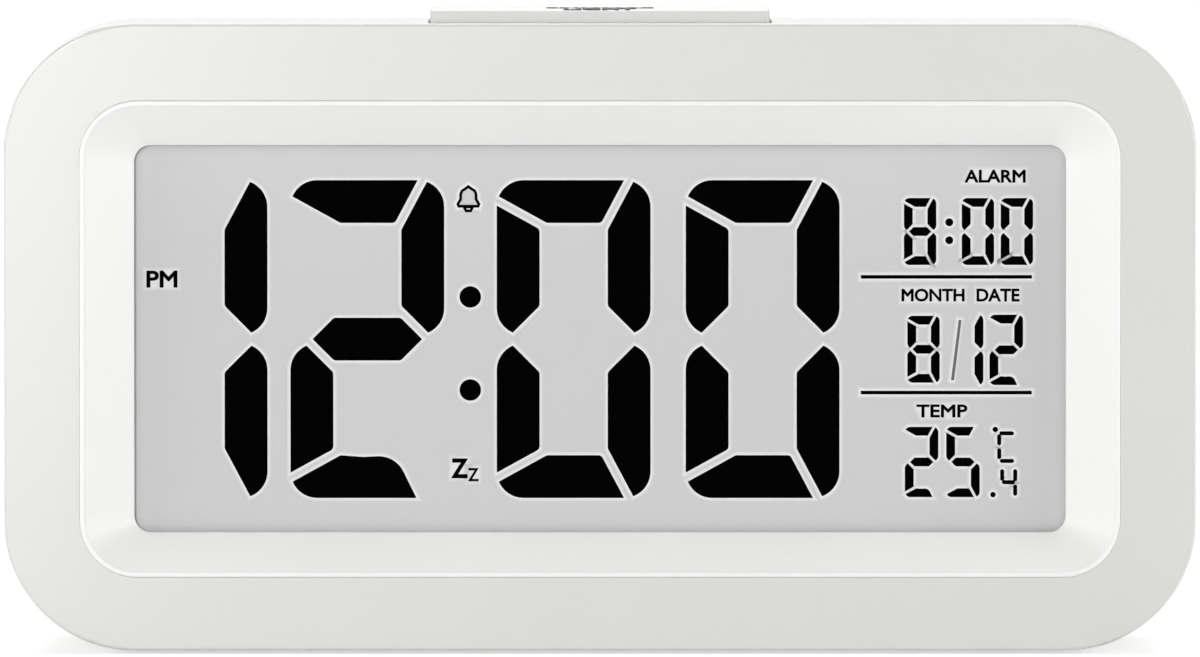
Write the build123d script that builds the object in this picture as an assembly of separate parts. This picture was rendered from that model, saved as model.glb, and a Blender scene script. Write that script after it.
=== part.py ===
from build123d import *
import math
import os

# Digital alarm clock with a large liquid crystal display, a snooze bar on top and keys on its back.
# The front faces -Y, +Z is up, and the origin is on the table under the middle of the clock.

# Housing
WIDTH = 135.0
HEIGHT = 71.0
CORNER_RADIUS = 14.7
FRONT_DEPTH = 24.2
REAR_DEPTH = 19.8
WALL = 2.0
FACE_THICKNESS = 2.0
FACE_EDGE_RADIUS = 0.35
SIDE_TAPER = 2.6
TOP_TAPER = 2.0
REAR_CORNER_RADIUS = 13.0
REAR_EDGE_RADIUS = 4.0
SHADOW_GAP = 0.5
SHADOW_DEPTH = 0.4
TONGUE_LENGTH = 1.5
TONGUE_GAP = 0.1

# Feet
FOOT_LENGTH = 12.0
FOOT_WIDTH = 6.0
FOOT_PROUD = 0.4
FOOT_POCKET = 0.6
FOOT_SIDE_INSET = 22.5
FOOT_FRONT_INSET = 9.8
FOOT_REAR_INSET = 9.7
FOOT_GAP = 0.1

# Sloped frame between the ring and the display
RING_SIDE = 8.6
RING_TOP = 8.5
RING_DROP = 0.2
WINDOW_RADIUS = 1.9
WINDOW_EDGE = 0.2
SLOPE_SIDE = 5.425
SLOPE_TOP = 4.38
SLOPE_DEPTH = 4.0
SLOPE_RADIUS = 5.85
BEAD_WIDTH = 0.65
BEAD_PROUD = 0.25
BEAD_EDGE = 0.2
RIM_GAP = 0.03
INSERT_GAP = 0.1
INSERT_RIM = 1.2
FLANGE_WIDTH = 1.6
FLANGE_THICKNESS = 1.2
LIP_THICKNESS = 1.0
LIP_WIDTH = 1.4
DISPLAY_DROP = 0.33

# Display stack
GLASS_LAP_SIDE = 1.5
GLASS_LAP_TOP = 1.8
GLASS_THICKNESS = 1.1
CONTACT_LEDGE = 2.5
FILM_THICKNESS = 0.2
GASKET_THICKNESS = 0.4
GASKET_WIDTH = 1.2
GUIDE_THICKNESS = 3.0
STACK_GAP = 0.2
HOLDER_WALL = 1.7
HOLDER_GAP = 0.15
ZEBRA_HEIGHT = 2.0
LED_WIDTH = 1.4
LED_HEIGHT = 3.0
LED_DEPTH = 2.6
POST_RADIUS = 2.2
POST_SPREAD = 13.5
POST_GAP = 0.4
EAR_THICKNESS = 2.1
EAR_HEIGHT = 6.0

# Digits and marks of the display, drawn for a window of this width and placed from its middle
PICTURE_WIDTH = 105.65
BAR_THICKNESS = 0.05
TIME_DIGIT = (17.45, 36.1)
TIME_STROKE = 4.86
TIME_GAP = 1.0
TIME_HEIGHT = -0.1
TIME_CENTRES = (-46.46, -26.4, -2.99, 18.45)
COLON_X = -14.72
COLON_HEIGHTS = (4.69, -5.88)
COLON_RADIUS = 1.22
SIDE_DIGIT = (3.67, 7.6)
TALL_DIGIT = (3.8, 7.99)
SIDE_STROKE = 1.0
SIDE_GAP = 0.3
ALARM_HEIGHT = 12.12
ALARM_CENTRES = (36.31, 42.87, 47.29)
ALARM_COLON_X = 39.62
ALARM_COLON_HEIGHTS = (13.17, 11.13)
SMALL_DOT_RADIUS = 0.45
RULE_START = 29.6
RULE_END = 49.0
RULE_HEIGHTS = (6.97, -6.17)
RULE_THICKNESS = 0.41
MONTH_CENTRE = (36.71, -1.25)
DAY_HEIGHT = -1.32
DAY_CENTRES = (41.6, 46.1)
SLASH_CENTRE = (40.37, -1.33)
SLASH_LENGTH = 6.87
SLASH_LEAN = 7.2
SLASH_WIDTH = 0.2
TEMPERATURE_HEIGHT = -14.06
TEMPERATURE_CENTRES = (36.5, 41.2)
DEGREE_DOT = (44.86, -10.36)
POINT_DOT = (44.61, -17.77)
TINY_DOT_RADIUS = 0.31
TINY_STROKE = 0.46
SCALE_LETTER_TOP = (45.56, 46.75, -10.8)
SCALE_LETTER_UPPER = (45.31, -11.15, -11.94)
SCALE_LETTER_LOWER = (45.31, -12.74, -13.5)
SCALE_LETTER_FOOT = (45.61, 46.77, -13.94)
TENTHS_LEFT = (45.65, -15.11, -15.96)
TENTHS_MIDDLE = (45.84, 46.87, -16.36)
TENTHS_UPPER = (47.13, -15.11, -16.02)
TENTHS_LOWER = (47.13, -16.87, -17.66)

# Shape of a digit's bars, every value a number of strokes or a slope
BAR_ROUND = 0.62
BAR_SOFT = 0.12
SIDE_CUT = 0.473
SIDE_CUT_SLOPE = 0.552
TOP_CUT = 0.5
TOP_CUT_SLOPE = 0.533
WAIST_CUT = 0.37
WAIST_GAP = 0.1
BAR_REACH = 0.3
FOOT_TIP = 0.5
FOOT_SHOULDER = 1.14
FOOT_DIP = (0.1, 0.96)
FOOT_ROUND = 0.65

# Circuit boards and screws
BOARD_THICKNESS = 1.2
SCREW_HEAD_RADIUS = 2.0
SCREW_HEAD_HEIGHT = 1.4
SCREW_RADIUS = 0.9
SCREW_GAP = 0.1
SCREW_LENGTH = 6.5
CHIP_RADIUS = 7.0
CHIP_HEIGHT = 1.6
CHIP_PLACE = (-10.0, -6.0)
CRYSTAL_RADIUS = 1.5
CRYSTAL_LENGTH = 7.0
CRYSTAL_PLACE = (12.0, -14.0)
CAPACITOR_RADIUS = 3.0
CAPACITOR_HEIGHT = 7.0
CAPACITOR_PLACE = (20.0, -14.0)
SMALL_EDGE = 0.4

# Push switches under the snooze bar and the keys
SWITCH_SIDE = 6.0
SWITCH_HEIGHT = 3.5
PLUNGER_RADIUS = 1.7
PLUNGER_PROUD = 0.9
PLUNGER_DEPTH = 1.0
PLUNGER_GAP = 0.15
PLUNGER_TRAVEL = 0.7

# Snooze bar
SNOOZE_WIDTH = 38.5
SNOOZE_LENGTH = 15.0
SNOOZE_PROUD = 1.65
SNOOZE_SETBACK = 3.7
SNOOZE_RADIUS = 0.9
SNOOZE_CROWN = 0.3
SNOOZE_EDGE = 0.35
SNOOZE_WALL = 1.5
SNOOZE_FLANGE = 1.0
SNOOZE_GAP = 0.25
FLANGE_REST_GAP = 0.1
SNOOZE_BOARD_WIDTH = 52.0
SNOOZE_BOARD_DROP = 8.2
SNOOZE_SCREW_SPREAD = 23.5
SNOOZE_POST_RADIUS = 2.5
SNOOZE_BOARD_MARGIN = 1.4
PRESS_PAD_RADIUS = 2.2
PIN_ROOT = 0.5
GUIDE_PIN_RADIUS = 1.0
GUIDE_PIN_SPREAD = 15.0
GUIDE_PIN_GAP = 0.3

# Keys and alarm switch on the back
KEY_WIDTH = 9.0
KEY_HEIGHT = 5.0
KEY_PROUD = 0.8
KEY_EDGE = 0.5
KEY_FLANGE = 1.0
KEY_GAP = 0.25
KEY_PITCH = 16.0
KEY_START = -30.0
KEY_NAMES = ("mode_key", "set_key", "up_key", "down_key")
KEY_BOARD_HEIGHT = 10.0
KEY_BOARD_MARGIN = 8.0
KEY_BOSS_RADIUS = 2.0
SLIDER_X = 36.0
SLIDER_WIDTH = 3.6
SLIDER_HEIGHT = 3.2
SLIDER_TRAVEL = 2.0
SLIDER_BODY = (9.0, 5.0)
SLIDER_LEVER = 1.6
SLIDER_GAP = 0.2
SLIDER_RIDGE = 0.5

# Battery compartment
CELL_RADIUS = 5.25
CELL_LENGTH = 44.5
CELL_PITCH = 11.1
NUB_RADIUS = 1.9
NUB_LENGTH = 1.2
CONTACT_THICKNESS = 0.3
CONTACT_SIDE = 8.6
CONTACT_TAB = 3.0
TAB_REACH = 2.0
TAB_GAP = 0.1
SPRING_LENGTH = 4.5
SPRING_WIRE = 0.6
SPRING_WIDE_RADIUS = 3.5
SPRING_NARROW_RADIUS = 2.1
SPRING_TURNS = 3
SPRING_END_GAP = 0.03
TRAY_WALL = 1.5
TRAY_FLOOR = 1.6
DOOR_LEDGE = 1.7
DOOR_RISE = 7.6
DOOR_MARGIN = 2.25
LATCH_ROOM = 4.05
DOOR_THICKNESS = 1.8
DOOR_GAP = 0.2
DOOR_RADIUS = 2.0
DOOR_TO_CELL = 0.5
CELL_TO_FLOOR = 0.4
HOOK_WIDTH = 6.0
HOOK_SPREAD = 16.0
HOOK_THICKNESS = 1.1
HOOK_REACH = 1.4
HOOK_GAP = 0.1
HOOK_ROOM = 0.5
LATCH_WIDTH = 10.0
LATCH_THICKNESS = 0.9
LATCH_HEIGHT = 3.0
LATCH_DEPTH = 3.7
LATCH_CATCH = 1.0
SCOOP_DEPTH = 1.2
GRIP_RIDGES = 3
GRIP_PROUD = 0.3
GRIP_HEIGHT = 0.8
GRIP_PITCH = 1.6
GRIP_DROP = 2.0

# Speaker, air slots and temperature sensor
SPEAKER_RADIUS = 12.5
SPEAKER_RIM = 3.2
MAGNET_RADIUS = 7.5
MAGNET_HEIGHT = 3.6
MAGNET_EDGE = 0.6
SPEAKER_RISE = 26.6
SPEAKER_HOLE_RADIUS = 0.75
SPEAKER_HOLE_PITCH = 3.6
SPEAKER_WALL = 1.2
SPEAKER_GAP = 0.3
AIR_SLOT = (14.0, 1.2)
AIR_SLOT_COUNT = 5
AIR_SLOT_PITCH = 3.0
SENSOR_RADIUS = 1.3
SENSOR_STUD_RADIUS = 1.5
SENSOR_STUD_LENGTH = 3.0
SENSOR_LEG_ROOT = 0.3

# Leads and ribbons inside the housing
LEAD_RADIUS = 0.55
LEAD_BEND_SHARE = 0.45
LEAD_STEP = 3.0
BATTERY_LEAD_DROP = 3.0
BATTERY_LEAD_SHIFT = 4.0
SPEAKER_LEAD_DROP = 5.0
SPEAKER_LEAD_SHIFT = 3.0
SPEAKER_LEAD_SPREAD = 2.0
SENSOR_LEAD_DROP = 4.0
SENSOR_LEAD_SHIFT = 3.0
RIBBON_WIDTH = 8.0
RIBBON_THICKNESS = 0.8
RIBBON_BEND_SHARE = 0.45
RIBBON_X = 6.0
SNOOZE_RIBBON_DROP = 4.0
KEY_RIBBON_DROP = 6.0

# Screws that join the two shells
SHELL_SCREW_INSET = 11.0
SHELL_SCREW_RISE = 10.1
SHELL_SCREW_RADIUS = 1.25
SHELL_HEAD_RADIUS = 2.5
SHELL_HEAD_HEIGHT = 1.8
SHELL_SCREW_SEAT = 11.5
SHELL_SCREW_BITE = 7.0
BOSS_RADIUS = 3.0
TUBE_RADIUS = 4.0
RIB_THICKNESS = 1.2
BOSS_GAP = 0.1
BOSS_CLEARANCE = 0.6
CUT_REACH = 1.0

# Heights worked out from the housing
BODY_BOTTOM = FOOT_PROUD
BODY_TOP = BODY_BOTTOM + HEIGHT
BODY_Z = BODY_BOTTOM + HEIGHT / 2
MOUTH_Z = BODY_Z - RING_DROP
DISPLAY_Z = BODY_Z - DISPLAY_DROP

# Depths worked out from the ring face back
FACE_Y = BEAD_PROUD - (BEAD_PROUD + FRONT_DEPTH + REAR_DEPTH + KEY_PROUD) / 2
SEAM_Y = FACE_Y + FRONT_DEPTH
REAR_Y = SEAM_Y + REAR_DEPTH
REAR_INNER_Y = REAR_Y - WALL
PLATE_Y = FACE_Y + FACE_THICKNESS
INSERT_BACK_Y = FACE_Y + SLOPE_DEPTH + LIP_THICKNESS
POLARIZER_Y = INSERT_BACK_Y + GASKET_THICKNESS
FRONT_GLASS_Y = POLARIZER_Y + FILM_THICKNESS
REAR_GLASS_Y = FRONT_GLASS_Y + GLASS_THICKNESS
REAR_FILM_Y = REAR_GLASS_Y + GLASS_THICKNESS
GUIDE_Y = REAR_FILM_Y + FILM_THICKNESS
REFLECTOR_Y = GUIDE_Y + GUIDE_THICKNESS
BOARD_Y = REFLECTOR_Y + FILM_THICKNESS + STACK_GAP
BOARD_BACK_Y = BOARD_Y + BOARD_THICKNESS

# Sizes of the sloped frame, of the window in it and of the glass behind the window
INSERT_WIDTH = WIDTH - 2 * RING_SIDE
INSERT_HEIGHT = HEIGHT - 2 * RING_TOP
INSERT_RADIUS = SLOPE_RADIUS + BEAD_WIDTH
MOUTH_WIDTH = INSERT_WIDTH - 2 * BEAD_WIDTH
MOUTH_HEIGHT = INSERT_HEIGHT - 2 * BEAD_WIDTH
WINDOW_WIDTH = MOUTH_WIDTH - 2 * SLOPE_SIDE
WINDOW_HEIGHT = MOUTH_HEIGHT - 2 * SLOPE_TOP
PICTURE_SCALE = WINDOW_WIDTH / PICTURE_WIDTH
GLASS_WIDTH = WINDOW_WIDTH + 2 * GLASS_LAP_SIDE
GLASS_HEIGHT = WINDOW_HEIGHT + 2 * GLASS_LAP_TOP
HOLDER_WIDTH = GLASS_WIDTH + 2 * (HOLDER_GAP + HOLDER_WALL)
HOLDER_HEIGHT = GLASS_HEIGHT + 2 * (HOLDER_GAP + HOLDER_WALL)
POST_X = WIDTH / 2 - WALL - POST_RADIUS - POST_GAP
EAR_Y = BOARD_Y - EAR_THICKNESS

# Places of the snooze bar
SNOOZE_Y = FACE_Y + SNOOZE_SETBACK + SNOOZE_LENGTH / 2
SNOOZE_TOP = BODY_TOP + SNOOZE_PROUD
SNOOZE_FLANGE_Z = BODY_TOP - WALL - FLANGE_REST_GAP - SNOOZE_FLANGE
SNOOZE_BOARD_Z = BODY_TOP - SNOOZE_BOARD_DROP
SNOOZE_SCREW_Y = BOARD_BACK_Y + SCREW_HEAD_RADIUS + SNOOZE_GAP
SNOOZE_BOARD_FRONT = SNOOZE_Y - SWITCH_SIDE / 2 - SNOOZE_BOARD_MARGIN
SNOOZE_BOARD_BACK = SNOOZE_SCREW_Y + SNOOZE_POST_RADIUS

# Places in the battery compartment
TRAY_HALF = (CELL_LENGTH + SPRING_LENGTH) / 2 + CONTACT_THICKNESS
DOOR_HALF = TRAY_HALF + DOOR_LEDGE
DOOR_BOTTOM = BODY_BOTTOM + DOOR_RISE
CELL_HEIGHTS = [DOOR_BOTTOM + DOOR_MARGIN + CELL_RADIUS + CELL_PITCH * i for i in range(3)]
DOOR_TOP = CELL_HEIGHTS[-1] + CELL_RADIUS + LATCH_ROOM
DOOR_INNER_Y = REAR_Y - DOOR_THICKNESS
CELL_Y = DOOR_INNER_Y - DOOR_TO_CELL - CELL_RADIUS
FLOOR_Y = CELL_Y - CELL_RADIUS - CELL_TO_FLOOR
TRAY_FRONT_Y = FLOOR_Y - TRAY_FLOOR
TRAY_BOTTOM = DOOR_BOTTOM - HOOK_REACH - HOOK_ROOM
TRAY_TOP = DOOR_TOP + LATCH_CATCH + DOOR_GAP
LATCH_TOP = DOOR_TOP - 3 * DOOR_GAP
LATCH_BOTTOM = LATCH_TOP - LATCH_HEIGHT
CELL_SIDES = (1, -1, 1)

# Places of the keys, midway between the battery tray and the top wall
KEY_Z = (TRAY_TOP + BODY_TOP - WALL) / 2
KEY_FLANGE_Y = REAR_INNER_Y - FLANGE_REST_GAP - KEY_FLANGE
KEY_BOARD_BACK_Y = KEY_FLANGE_Y - PLUNGER_PROUD - SWITCH_HEIGHT
KEY_BOARD_Y = KEY_BOARD_BACK_Y - BOARD_THICKNESS
KEY_CENTRES = [KEY_START + KEY_PITCH * i for i in range(len(KEY_NAMES))]
KEY_BOARD_LEFT = KEY_START - KEY_BOARD_MARGIN
KEY_BOARD_RIGHT = SLIDER_X + KEY_BOARD_MARGIN
KEY_SCREW_CENTRES = (KEY_START + KEY_PITCH / 2, (KEY_CENTRES[-1] + SLIDER_X) / 2)
SLIDER_SLOT = SLIDER_WIDTH + SLIDER_TRAVEL + 2 * SLIDER_GAP

# Places of the speaker and the sensor
AIR_X = (DOOR_HALF + TRAY_WALL / 2 + WIDTH / 2 - SIDE_TAPER - WALL) / 2
SPEAKER_X = -AIR_X
SPEAKER_Z = BODY_BOTTOM + SPEAKER_RISE
SENSOR_Y = REAR_INNER_Y - SENSOR_STUD_LENGTH
SENSOR_Z = SPEAKER_Z + AIR_SLOT_PITCH * (AIR_SLOT_COUNT + 1) / 2 + SENSOR_RADIUS

# Places of the shell screws
SHELL_SCREWS = [
    (side * (WIDTH / 2 - SHELL_SCREW_INSET), height)
    for side in (-1, 1)
    for height in (BODY_BOTTOM + SHELL_SCREW_RISE, BODY_TOP - SHELL_SCREW_RISE)
]
SHELL_SEAT_Y = REAR_Y - SHELL_SCREW_SEAT
BOSS_FRONT_Y = BOARD_BACK_Y + BOSS_CLEARANCE


# Helpers for plates, rods and blocks
def facing(y, x=0.0, z=0.0):
    return Plane(origin=(x, y, z), x_dir=(1, 0, 0), z_dir=(0, -1, 0))


def slab(outline, front, back, x=0.0, z=0.0):
    return extrude(facing(back, x, z) * outline, back - front)


def rod(radius, x, z, front, back):
    return slab(Circle(radius), front, back, x, z)


def prism(outline, bottom, top, x=0.0, y=0.0):
    return extrude(Pos(x, y, bottom) * outline, top - bottom)


def block(x0, x1, y0, y1, z0, z1):
    return Pos((x0 + x1) / 2, (y0 + y1) / 2, (z0 + z1) / 2) * Box(x1 - x0, y1 - y0, z1 - z0)


def group(solids):
    return Compound(children=list(solids))


def body_outline(inset):
    return RectangleRounded(WIDTH - 2 * inset, HEIGHT - 2 * inset, CORNER_RADIUS - inset)


def rear_outline(inset):
    width = WIDTH - 2 * SIDE_TAPER - 2 * inset
    return RectangleRounded(width, HEIGHT - TOP_TAPER - 2 * inset, REAR_CORNER_RADIUS - inset)


def tapered(inset, back, edge_radius):
    start = facing(SEAM_Y + SHADOW_GAP, z=BODY_Z) * body_outline(inset)
    end = facing(back, z=BODY_Z - TOP_TAPER / 2) * rear_outline(inset)
    body = loft([start, end], ruled=True)
    return fillet(body.edges().group_by(Axis.Y)[-1], edge_radius)


def ring_slab(width, height, radius, rim, front, back):
    outer = RectangleRounded(width, height, radius)
    inner = RectangleRounded(width - 2 * rim, height - 2 * rim, max(radius - rim, WINDOW_RADIUS))
    return slab(outer - inner, front, back, z=MOUTH_Z)


# Front shell
def corner_boss(x, z):
    boss = rod(BOSS_RADIUS, x, z, BOSS_FRONT_Y, SEAM_Y)
    rib_back = SEAM_Y - TONGUE_LENGTH - 2 * TONGUE_GAP
    side = WIDTH / 2 - WALL / 2
    half = RIB_THICKNESS / 2
    across = block(min(x, math.copysign(side, x)), max(x, math.copysign(side, x)),
                   BOSS_FRONT_Y, rib_back, z - half, z + half)
    end = BODY_BOTTOM + WALL / 2 if z < BODY_Z else BODY_TOP - WALL / 2
    upright = block(x - half, x + half, BOSS_FRONT_Y, rib_back, min(z, end), max(z, end))
    pilot = rod(SHELL_SCREW_RADIUS + SCREW_GAP / 2, x, z, BOSS_FRONT_Y + WALL, SEAM_Y)
    return boss + across + upright, pilot


def display_post(side, height):
    x = side * POST_X
    z = DISPLAY_Z + height
    post = rod(POST_RADIUS, x, z, PLATE_Y, EAR_Y)
    wall = side * (WIDTH / 2 - WALL / 2)
    half = RIB_THICKNESS / 2
    rib = block(min(x, wall), max(x, wall), PLATE_Y, EAR_Y, z - half, z + half)
    pilot = rod(SCREW_RADIUS + SCREW_GAP / 2, x, z, PLATE_Y + WALL / 2, EAR_Y)
    return post + rib, pilot


def foot_pads(y):
    side = WIDTH / 2 - FOOT_SIDE_INSET
    pad = SlotOverall(FOOT_LENGTH, FOOT_WIDTH)
    return [prism(pad, 0, FOOT_PROUD + FOOT_POCKET, x, y) for x in (-side, side)]


def foot_pockets(y):
    side = WIDTH / 2 - FOOT_SIDE_INSET
    pad = SlotOverall(FOOT_LENGTH + 2 * FOOT_GAP, FOOT_WIDTH + 2 * FOOT_GAP)
    return [prism(pad, 0, FOOT_PROUD + FOOT_POCKET, x, y) for x in (-side, side)]


def front_shell():
    shell = slab(body_outline(0), FACE_Y, SEAM_Y, z=BODY_Z)
    shell = fillet(shell.edges().group_by(Axis.Y)[0], FACE_EDGE_RADIUS)
    shell -= slab(body_outline(WALL), PLATE_Y, SEAM_Y, z=BODY_Z)
    shell -= slab(body_outline(WALL / 2), SEAM_Y - TONGUE_LENGTH - TONGUE_GAP, SEAM_Y, z=BODY_Z)
    opening = RectangleRounded(INSERT_WIDTH + 2 * RIM_GAP, INSERT_HEIGHT + 2 * RIM_GAP,
                               INSERT_RADIUS + RIM_GAP)
    shell -= slab(opening, FACE_Y - CUT_REACH, PLATE_Y, z=MOUTH_Z)
    for side in (-1, 1):
        for height in (-POST_SPREAD, POST_SPREAD):
            post, pilot = display_post(side, height)
            shell = shell + post - pilot
    for x, z in SHELL_SCREWS:
        boss, pilot = corner_boss(x, z)
        shell = shell + boss - pilot
    cut = RectangleRounded(SNOOZE_WIDTH + 2 * SNOOZE_GAP, SNOOZE_LENGTH + 2 * SNOOZE_GAP,
                           SNOOZE_RADIUS + SNOOZE_GAP)
    shell -= prism(cut, BODY_TOP - 2 * WALL, BODY_TOP + WALL, y=SNOOZE_Y)
    for side in (-1, 1):
        x = side * SNOOZE_SCREW_SPREAD
        bottom = SNOOZE_BOARD_Z
        shell += prism(Circle(SNOOZE_POST_RADIUS), bottom, BODY_TOP - WALL / 2, x, SNOOZE_SCREW_Y)
        shell -= prism(Circle(SCREW_RADIUS + SCREW_GAP / 2), bottom, BODY_TOP - WALL, x, SNOOZE_SCREW_Y)
    for pocket in foot_pockets(FACE_Y + FOOT_FRONT_INSET):
        shell -= pocket
    return shell


# Sloped display frame
def slope_loft(front, back, front_size, back_size, back_z):
    near = facing(front, z=MOUTH_Z) * RectangleRounded(*front_size)
    far = facing(back, z=back_z) * RectangleRounded(*back_size)
    return loft([near, far], ruled=True)


def bezel_insert():
    window = (WINDOW_WIDTH, WINDOW_HEIGHT, WINDOW_RADIUS)
    window_front = FACE_Y + SLOPE_DEPTH
    rim_back = PLATE_Y + FLANGE_THICKNESS
    start = FACE_Y + LIP_THICKNESS
    outside = (INSERT_WIDTH, INSERT_HEIGHT, INSERT_RADIUS)
    frame = slab(RectangleRounded(*outside), FACE_Y, start, z=MOUTH_Z)
    lip = (WINDOW_WIDTH + 2 * LIP_WIDTH, WINDOW_HEIGHT + 2 * LIP_WIDTH, WINDOW_RADIUS + LIP_WIDTH)
    frame += slope_loft(start, INSERT_BACK_Y, outside, lip, DISPLAY_Z)
    frame += ring_slab(*outside, INSERT_RIM, FACE_Y, rim_back)
    frame += ring_slab(INSERT_WIDTH + 2 * FLANGE_WIDTH, INSERT_HEIGHT + 2 * FLANGE_WIDTH,
                       INSERT_RADIUS + FLANGE_WIDTH, FLANGE_WIDTH + INSERT_RIM, PLATE_Y, rim_back)
    bead = ring_slab(*outside, BEAD_WIDTH, FACE_Y - BEAD_PROUD, FACE_Y)
    frame += fillet(bead.edges().group_by(Axis.Y)[0], BEAD_EDGE)
    mouth = (MOUTH_WIDTH, MOUTH_HEIGHT, SLOPE_RADIUS)
    frame -= slab(RectangleRounded(*mouth), FACE_Y - BEAD_PROUD, FACE_Y, z=MOUTH_Z)
    frame -= slope_loft(FACE_Y, window_front, mouth, window, DISPLAY_Z)
    frame -= slab(RectangleRounded(*window), window_front, INSERT_BACK_Y, z=DISPLAY_Z)
    edges = frame.edges().filter_by_position(Axis.Y, window_front - WINDOW_EDGE, window_front + WINDOW_EDGE)
    return fillet(edges, WINDOW_EDGE)


# Bars of a digit, in strokes from the left end of its top or bottom edge, each point with its corner radius
def side_cut(x, shift):
    return SIDE_CUT + SIDE_CUT_SLOPE * x + shift * math.hypot(1, SIDE_CUT_SLOPE)


def side_cut_end(shift):
    return (1 - SIDE_CUT - shift * math.hypot(1, SIDE_CUT_SLOPE)) / SIDE_CUT_SLOPE


def top_cut(y, shift):
    return TOP_CUT + TOP_CUT_SLOPE * y - shift * math.hypot(1, TOP_CUT_SLOPE)


def top_cut_end(shift):
    return (1 - TOP_CUT + shift * math.hypot(1, TOP_CUT_SLOPE)) / TOP_CUT_SLOPE


def waist_cut(rise, shift):
    return WAIST_CUT + rise + shift * math.hypot(1, 1)


def top_bar(w, g):
    out = -BAR_REACH
    return [(out, side_cut(out, -g), 0), (out, out, 0), (w - top_cut(out, -g), out, 0),
            (w - top_cut(1, -g), 1, BAR_SOFT), (side_cut_end(-g), 1, BAR_SOFT)]


def left_bar(m, g):
    out = -BAR_REACH
    bend = m - 1 + waist_cut(0, -g)
    return [(out, side_cut(out, g), 0), (1, side_cut(1, g), BAR_SOFT), (1, bend, BAR_SOFT),
            (waist_cut(0, -g), m, 0), (out, m, 0)]


def right_bar(w, m, g):
    out = w + BAR_REACH
    bend = m - 1 + waist_cut(0, -g)
    return [(w - top_cut(-BAR_REACH, g), -BAR_REACH, 0), (out, -BAR_REACH, 0), (out, m, 0),
            (w - waist_cut(0, -g), m, 0), (w - 1, bend, BAR_SOFT), (w - 1, top_cut_end(g), BAR_SOFT)]


def middle_bar(w, g):
    tip = waist_cut(0, g)
    end = waist_cut(0.5, g)
    return [(tip, 0, 0), (end, -0.5, BAR_SOFT), (w - end, -0.5, BAR_SOFT), (w - tip, 0, 0),
            (w - end, 0.5, BAR_SOFT), (end, 0.5, BAR_SOFT)]


def foot_bar(w, g):
    out = -BAR_REACH
    dip, dip_rise = FOOT_DIP
    return [(out, side_cut(out, -g), 0), (out, out, 0), (w - FOOT_TIP, out, 0),
            (w - FOOT_SHOULDER, 1, FOOT_ROUND), (w / 2 - dip, dip_rise, 0),
            (side_cut_end(-g), 1, BAR_SOFT)]


def bar_points(name, w, m, g):
    if name in "ad":
        return top_bar(w, g)
    if name in "bc":
        return right_bar(w, m, g)
    if name in "ef":
        return left_bar(m, g)
    return foot_bar(w, g)


def rounded_face(points, stroke, width, level, way):
    places = [(x * stroke - width / 2, level + way * y * stroke) for x, y, radius in points]
    radii = [radius * stroke for x, y, radius in points]
    return make_face(FilletPolyline(*places, radius=radii, close=True))


def bar(name, width, tall, stroke, gap):
    w = width / stroke
    g = gap / 2 / stroke
    if name == "g":
        return rounded_face(middle_bar(w, g), stroke, width, 0, 1)
    way = -1 if name in "abf" else 1
    level = -way * tall / 2
    height = tall / 2 - WAIST_GAP * stroke
    half = Pos(0, level + way * height / 2) * RectangleRounded(width, height, BAR_ROUND * stroke)
    return rounded_face(bar_points(name, w, tall / 2 / stroke, g), stroke, width, level, way) & half


SHAPES = {"0": "abcdef", "1": "bc", "2": "abgeh", "5": "afgcd", "8": "abcdefg"}


def digit(sign, size, stroke, gap, x, height):
    return [mark(bar(name, *size, stroke, gap), x, height) for name in SHAPES[sign]]


def mark(outline, x, height):
    place = DISPLAY_Z + height * PICTURE_SCALE
    drawn = scale(outline, PICTURE_SCALE)
    return slab(drawn, POLARIZER_Y - BAR_THICKNESS, POLARIZER_Y, x * PICTURE_SCALE, place)


def dot(radius, x, height):
    return mark(Circle(radius), x, height)


def level_stroke(start, end, height):
    return mark(SlotCenterToCenter(end - start, TINY_STROKE), (start + end) / 2, height)


def upright_stroke(x, top, bottom):
    return mark(SlotCenterToCenter(top - bottom, TINY_STROKE, rotation=90), x, (top + bottom) / 2)


def scale_letter():
    return [level_stroke(*SCALE_LETTER_TOP), upright_stroke(*SCALE_LETTER_UPPER),
            upright_stroke(*SCALE_LETTER_LOWER), level_stroke(*SCALE_LETTER_FOOT)]


def tenths_digit():
    return [upright_stroke(*TENTHS_LEFT), level_stroke(*TENTHS_MIDDLE),
            upright_stroke(*TENTHS_UPPER), upright_stroke(*TENTHS_LOWER)]


def lcd_segments():
    marks = []
    for sign, x in zip("1200", TIME_CENTRES):
        marks += digit(sign, TIME_DIGIT, TIME_STROKE, TIME_GAP, x, TIME_HEIGHT)
    marks += [dot(COLON_RADIUS, COLON_X, height) for height in COLON_HEIGHTS]
    for sign, x in zip("800", ALARM_CENTRES):
        marks += digit(sign, SIDE_DIGIT, SIDE_STROKE, SIDE_GAP, x, ALARM_HEIGHT)
    marks += [dot(SMALL_DOT_RADIUS, ALARM_COLON_X, height) for height in ALARM_COLON_HEIGHTS]
    rule = Rectangle(RULE_END - RULE_START, RULE_THICKNESS)
    marks += [mark(rule, (RULE_START + RULE_END) / 2, height) for height in RULE_HEIGHTS]
    marks += digit("8", SIDE_DIGIT, SIDE_STROKE, SIDE_GAP, *MONTH_CENTRE)
    marks.append(mark(Rot(0, 0, -SLASH_LEAN) * Rectangle(SLASH_WIDTH, SLASH_LENGTH), *SLASH_CENTRE))
    for sign, x in zip("12", DAY_CENTRES):
        marks += digit(sign, TALL_DIGIT, SIDE_STROKE, SIDE_GAP, x, DAY_HEIGHT)
    for sign, x in zip("25", TEMPERATURE_CENTRES):
        marks += digit(sign, TALL_DIGIT, SIDE_STROKE, SIDE_GAP, x, TEMPERATURE_HEIGHT)
    marks += [dot(TINY_DOT_RADIUS, *place) for place in (DEGREE_DOT, POINT_DOT)]
    return group(marks + scale_letter() + tenths_digit())


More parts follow.
